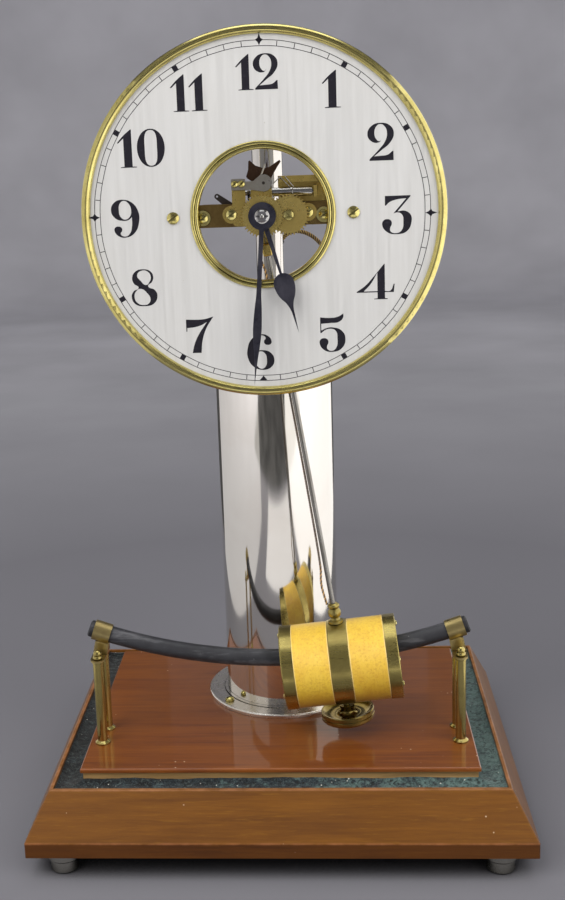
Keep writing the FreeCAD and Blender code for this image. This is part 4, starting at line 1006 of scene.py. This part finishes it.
class CLOCK_OT_leads(ClockPiece, Operator):
    """Braids the supply lead and twists the fine wire on the rod"""

    bl_idname = "clock.leads"
    bl_label = "Leads"

    def execute(self, context):
        coil = context.scene.clock_coil
        self.supply(thread_finish("light thread", coil.lead_light, coil.lead_dark),
                    thread_finish("dark thread", coil.lead_dark, (0.01, 0.006, 0.006)))
        self.rod_wire()
        return {"FINISHED"}

    def supply(self, light, dark):
        """A dark core in a braid of three light strands and five dark ones."""
        line = route_points("supply_route", SUPPLY_ROUTE)
        radius, lift, pitch, core = 0.74 * MM, 0.06 * MM, 3.4 * MM, 0.7 * MM
        for name, hand, count, thick, material in (
                ("lead_braid_light", 1, 3, 0.21 * MM, light),
                ("lead_braid_dark", -1, 5, 0.27 * MM, dark)):
            lines = [helix(line, radius + lift * hand, pitch, math.tau * k / count, hand)
                     for k in range(count)]
            strands(name, lines, thick, "frame", material)
        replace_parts(strands("lead_core", [evenly(line, 0.5 * MM)[0]], core, "frame",
                            dark), "supply_lead")

    def rod_wire(self):
        """Two fine strands twisted together down the rod, swung with it."""
        swung = [(x * math.cos(SWING) - (z - PIVOT_Z) * math.sin(SWING), SWING_Y,
                  PIVOT_Z + x * math.sin(SWING) + (z - PIVOT_Z) * math.cos(SWING))
                 for x, z in ROD_ROUTE]
        line = route_points("rod_route", swung)
        twist, pitch, thick = 0.3 * MM, 2.2 * MM, 0.28 * MM
        copper = thread_finish("copper strand", (0.60, 0.34, 0.10), (0.16, 0.07, 0.025),
                               DULL_ROD_LEAD)
        grey = thread_finish("dark strand", (0.08, 0.05, 0.03), (0.03, 0.02, 0.015))
        for start, name, material in ((0.0, "rod_strand_copper", copper),
                                      (math.pi, "rod_strand_dark", grey)):
            strand = strands(name, [helix(line, twist, pitch, start, 1)], thick, "pendulum",
                             material)
            if not start:
                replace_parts(strand, "rod_lead")


# Studio


def soft_light(name, place, aim, size, power, colour, mirrored=True, diffused=True):
    """A rectangular light that no view sees. It may light only what mirrors
    it, or only what doesn't."""
    data = bpy.data.lights.new(name, "AREA")
    data.shape = "RECTANGLE"
    data.size, data.size_y = size
    data.energy = power
    data.color = colour
    lamp = placed(name, data)
    lamp.location = place
    lamp.rotation_euler = (Vector(aim) - Vector(place)).to_track_quat("-Z", "Y").to_euler()
    lamp.visible_camera = False
    lamp.visible_glossy = mirrored
    lamp.visible_diffuse = diffused


def stage_piece(name, mesh, material):
    made = placed(name, mesh)
    made.data.materials.append(material)
    return made


class CLOCK_OT_studio(ClockPiece, Operator):
    """Sets the pale floor, the soft lights and the camera"""

    bl_idname = "clock.studio"
    bl_label = "Studio"

    def execute(self, context):
        studio = context.scene.clock_studio
        self.floor(studio.floor, studio.wall)
        self.cards()
        self.lights(studio)
        self.sky()
        self.camera()
        context.scene.view_settings.view_transform = "Standard"
        return {"FINISHED"}

    def floor(self, colour, wall):
        """A round floor that curves up into a plain wall, with a painted shadow
        close under whatever stands on it."""
        flat, bend, high = 1.9, 0.6, 2.2
        profile = [(flat * share, 0.0) for share in (0.0, 0.5, 1.0)]
        profile += [(flat + bend * math.sin(a), bend * (1 - math.cos(a)))
                    for a in (math.radians(9 * k) for k in range(1, 11))]
        profile.append((flat + bend, high))
        mesh = spun([(r, 0, z) for r, z in profile], (0, 0, 1), 0.1 * MM)
        made = Finish("studio floor", colour)
        x, y, z = made.axes()
        made.layer(made.span(made.radius(x, y), 0.0, 1.0, 0.40, 1.5), wall)
        made.layer(made.span(z, 0.0, 1.0, 0.9, 1.6), 0.06)
        made.layer(made.span(made.noise(5.0, 3.0, 0.5), 0.0, 0.5), [c * 0.9 for c in colour])
        # Painted shadow where the floor is shut in under the clock.
        made.stain(0.004, made.nook(60 * MM, 8), 0.55, 0.12, 0.93)
        smooth(stage_piece("studio_floor", mesh, made.done(
            Roughness=0.85, Specular_IOR_Level=0.0)))

    def cards(self):
        """Cards that only bright metal mirrors: a dark one on the floor in
        front, and a grey one upright on each side behind, which edge the column."""
        dark, grey = Finish("dark card"), Finish("grey card")
        for made, low, high in ((dark, 0.015, 0.06), (grey, 0.07, 0.15)):
            made.colour = made.ramp(made.noise(9.0, 3.0), (0.35, low), (0.7, high))
            made.done(Roughness=0.8)
        flat, upright = Matrix(), Matrix.Rotation(QUARTER_TURN, 4, "X")
        for name, made, half, pose, heading, place in (
                ("dark_card", dark, (0.62, 0.55), flat, 0, (0.14, -1.08, 3 * MM)),
                ("left_card", grey, (0.175, 0.25), upright, 70, (-0.20, 0.455, 0.252)),
                ("right_card", grey, (0.106, 0.25), upright, 131, (0.19, 0.54, 0.252))):
            mesh = bmesh.new()
            bmesh.ops.create_grid(mesh, x_segments=1, y_segments=1, size=1.0)
            bmesh.ops.scale(mesh, vec=(*half, 1.0), verts=mesh.verts)
            turned = Matrix.Rotation(math.radians(heading), 4, "Z") @ pose
            mesh.transform(Matrix.Translation(place) @ turned)
            card = stage_piece(name, mesh, made.material)
            for ray in ("camera", "diffuse", "shadow", "transmission"):
                setattr(card, "visible_" + ray, False)

    def lights(self, studio):
        """Key, fill and top light, and low panels for the metal to mirror."""
        middle = (0.0, 0.0, 0.17)
        warm, cool = (1.0, 0.98, 0.95), (0.97, 0.98, 1.0)
        for name, place, size, power in (
                ("key", (-0.85, -1.0, 1.15), (1.4, 1.4), studio.key),
                ("fill", (0.95, -0.9, 1.0), (1.3, 1.3), studio.fill)):
            soft_light(name + "_light", place, middle, size, power, warm, mirrored=False)
            soft_light(name + "_glow", place, middle, size, power * studio.glow, warm,
                       diffused=False)
        soft_light("top_light", (0.0, 0.15, 1.7), middle, (1.3, 1.3), studio.top, cool)
        for name, place, aim, size, power in (
                ("left_panel", (-0.24, -0.06, 0.25), (0, -0.06, 0.25), (0.68, 0.5),
                 studio.left_panel),
                ("right_panel", (0.24, -0.08, 0.25), (0, -0.08, 0.25), (1.04, 0.5),
                 studio.right_panel),
                ("front_strip", (0.03, -0.38, 4 * MM), (0.03, -0.38, 1), (0.34, 0.22),
                 studio.front_strip)):
            soft_light(name, place, aim, size, power, warm, diffused=False)

    def sky(self):
        world = bpy.data.worlds.new("studio")
        world.use_nodes = True
        ground = world.node_tree.nodes["Background"]
        ground.inputs["Color"].default_value = (0.60, 0.60, 0.66, 1.0)
        ground.inputs["Strength"].default_value = 0.18
        bpy.context.scene.world = world

    def camera(self):
        """The photograph's viewpoint, fitted on the dial and the base. The
        lens and the shift are in pixels of the picture's height."""
        yaw, pitch, roll = -0.072227, 0.22237, -0.038834
        place = (0.02319, -0.56325, 0.30331)
        lens, shift, height = 1256.8, (46.718, -19.079), 900.0
        data = bpy.data.cameras.new("camera")
        data.sensor_width = 36.0
        data.lens = data.sensor_width * lens / height
        data.shift_x, data.shift_y = (way / height for way in shift)
        data.clip_start, data.clip_end = 0.01, 50.0
        forward = Vector((math.sin(yaw) * math.cos(pitch), math.cos(yaw) * math.cos(pitch),
                          -math.sin(pitch)))
        right = forward.cross(Vector((0, 0, 1))).normalized()
        up = right.cross(forward)
        level, tilt = math.cos(roll), math.sin(roll)
        right, up = right * level + up * tilt, up * level - right * tilt
        turn = Matrix((right, up, -forward)).transposed().to_4x4()
        camera = placed("camera", data)
        camera.matrix_world = Matrix.Translation(place) @ turn
        bpy.context.scene.camera = camera


# Registration

PIECES = (CLOCK_OT_base, CLOCK_OT_felt, CLOCK_OT_column, CLOCK_OT_rims, CLOCK_OT_numbers,
          CLOCK_OT_track, CLOCK_OT_movement, CLOCK_OT_hands, CLOCK_OT_magnet, CLOCK_OT_coil,
          CLOCK_OT_leads, CLOCK_OT_studio)
SETTINGS = {
    "clock_wood": WoodSettings,
    "clock_metal": MetalSettings,
    "clock_dial": DialSettings,
    "clock_coil": CoilSettings,
    "clock_studio": StudioSettings,
}


class CLOCK_PT_panel(Panel):
    """Lists the clock's pieces and their settings"""

    bl_idname = "CLOCK_PT_panel"
    bl_label = "Coil Pendulum Clock"
    bl_space_type = "VIEW_3D"
    bl_region_type = "UI"
    bl_category = "Clock"

    def draw(self, context):
        for name, group in SETTINGS.items():
            box = self.layout.box()
            for prop in group.__annotations__:
                box.prop(getattr(context.scene, name), prop)
        for operator in PIECES:
            self.layout.operator(operator.bl_idname)


def register():
    for group in (*SETTINGS.values(), *PIECES, CLOCK_PT_panel):
        bpy.utils.register_class(group)
    for name, group in SETTINGS.items():
        setattr(bpy.types.Scene, name, PointerProperty(type=group))


def unregister():
    for name in SETTINGS:
        delattr(bpy.types.Scene, name)
    for group in (CLOCK_PT_panel, *reversed(PIECES), *SETTINGS.values()):
        bpy.utils.unregister_class(group)


def main():
    register()
    for operator in PIECES:
        module, name = operator.bl_idname.split(".")
        getattr(getattr(bpy.ops, module), name)()


if __name__ == "__main__":
    main()
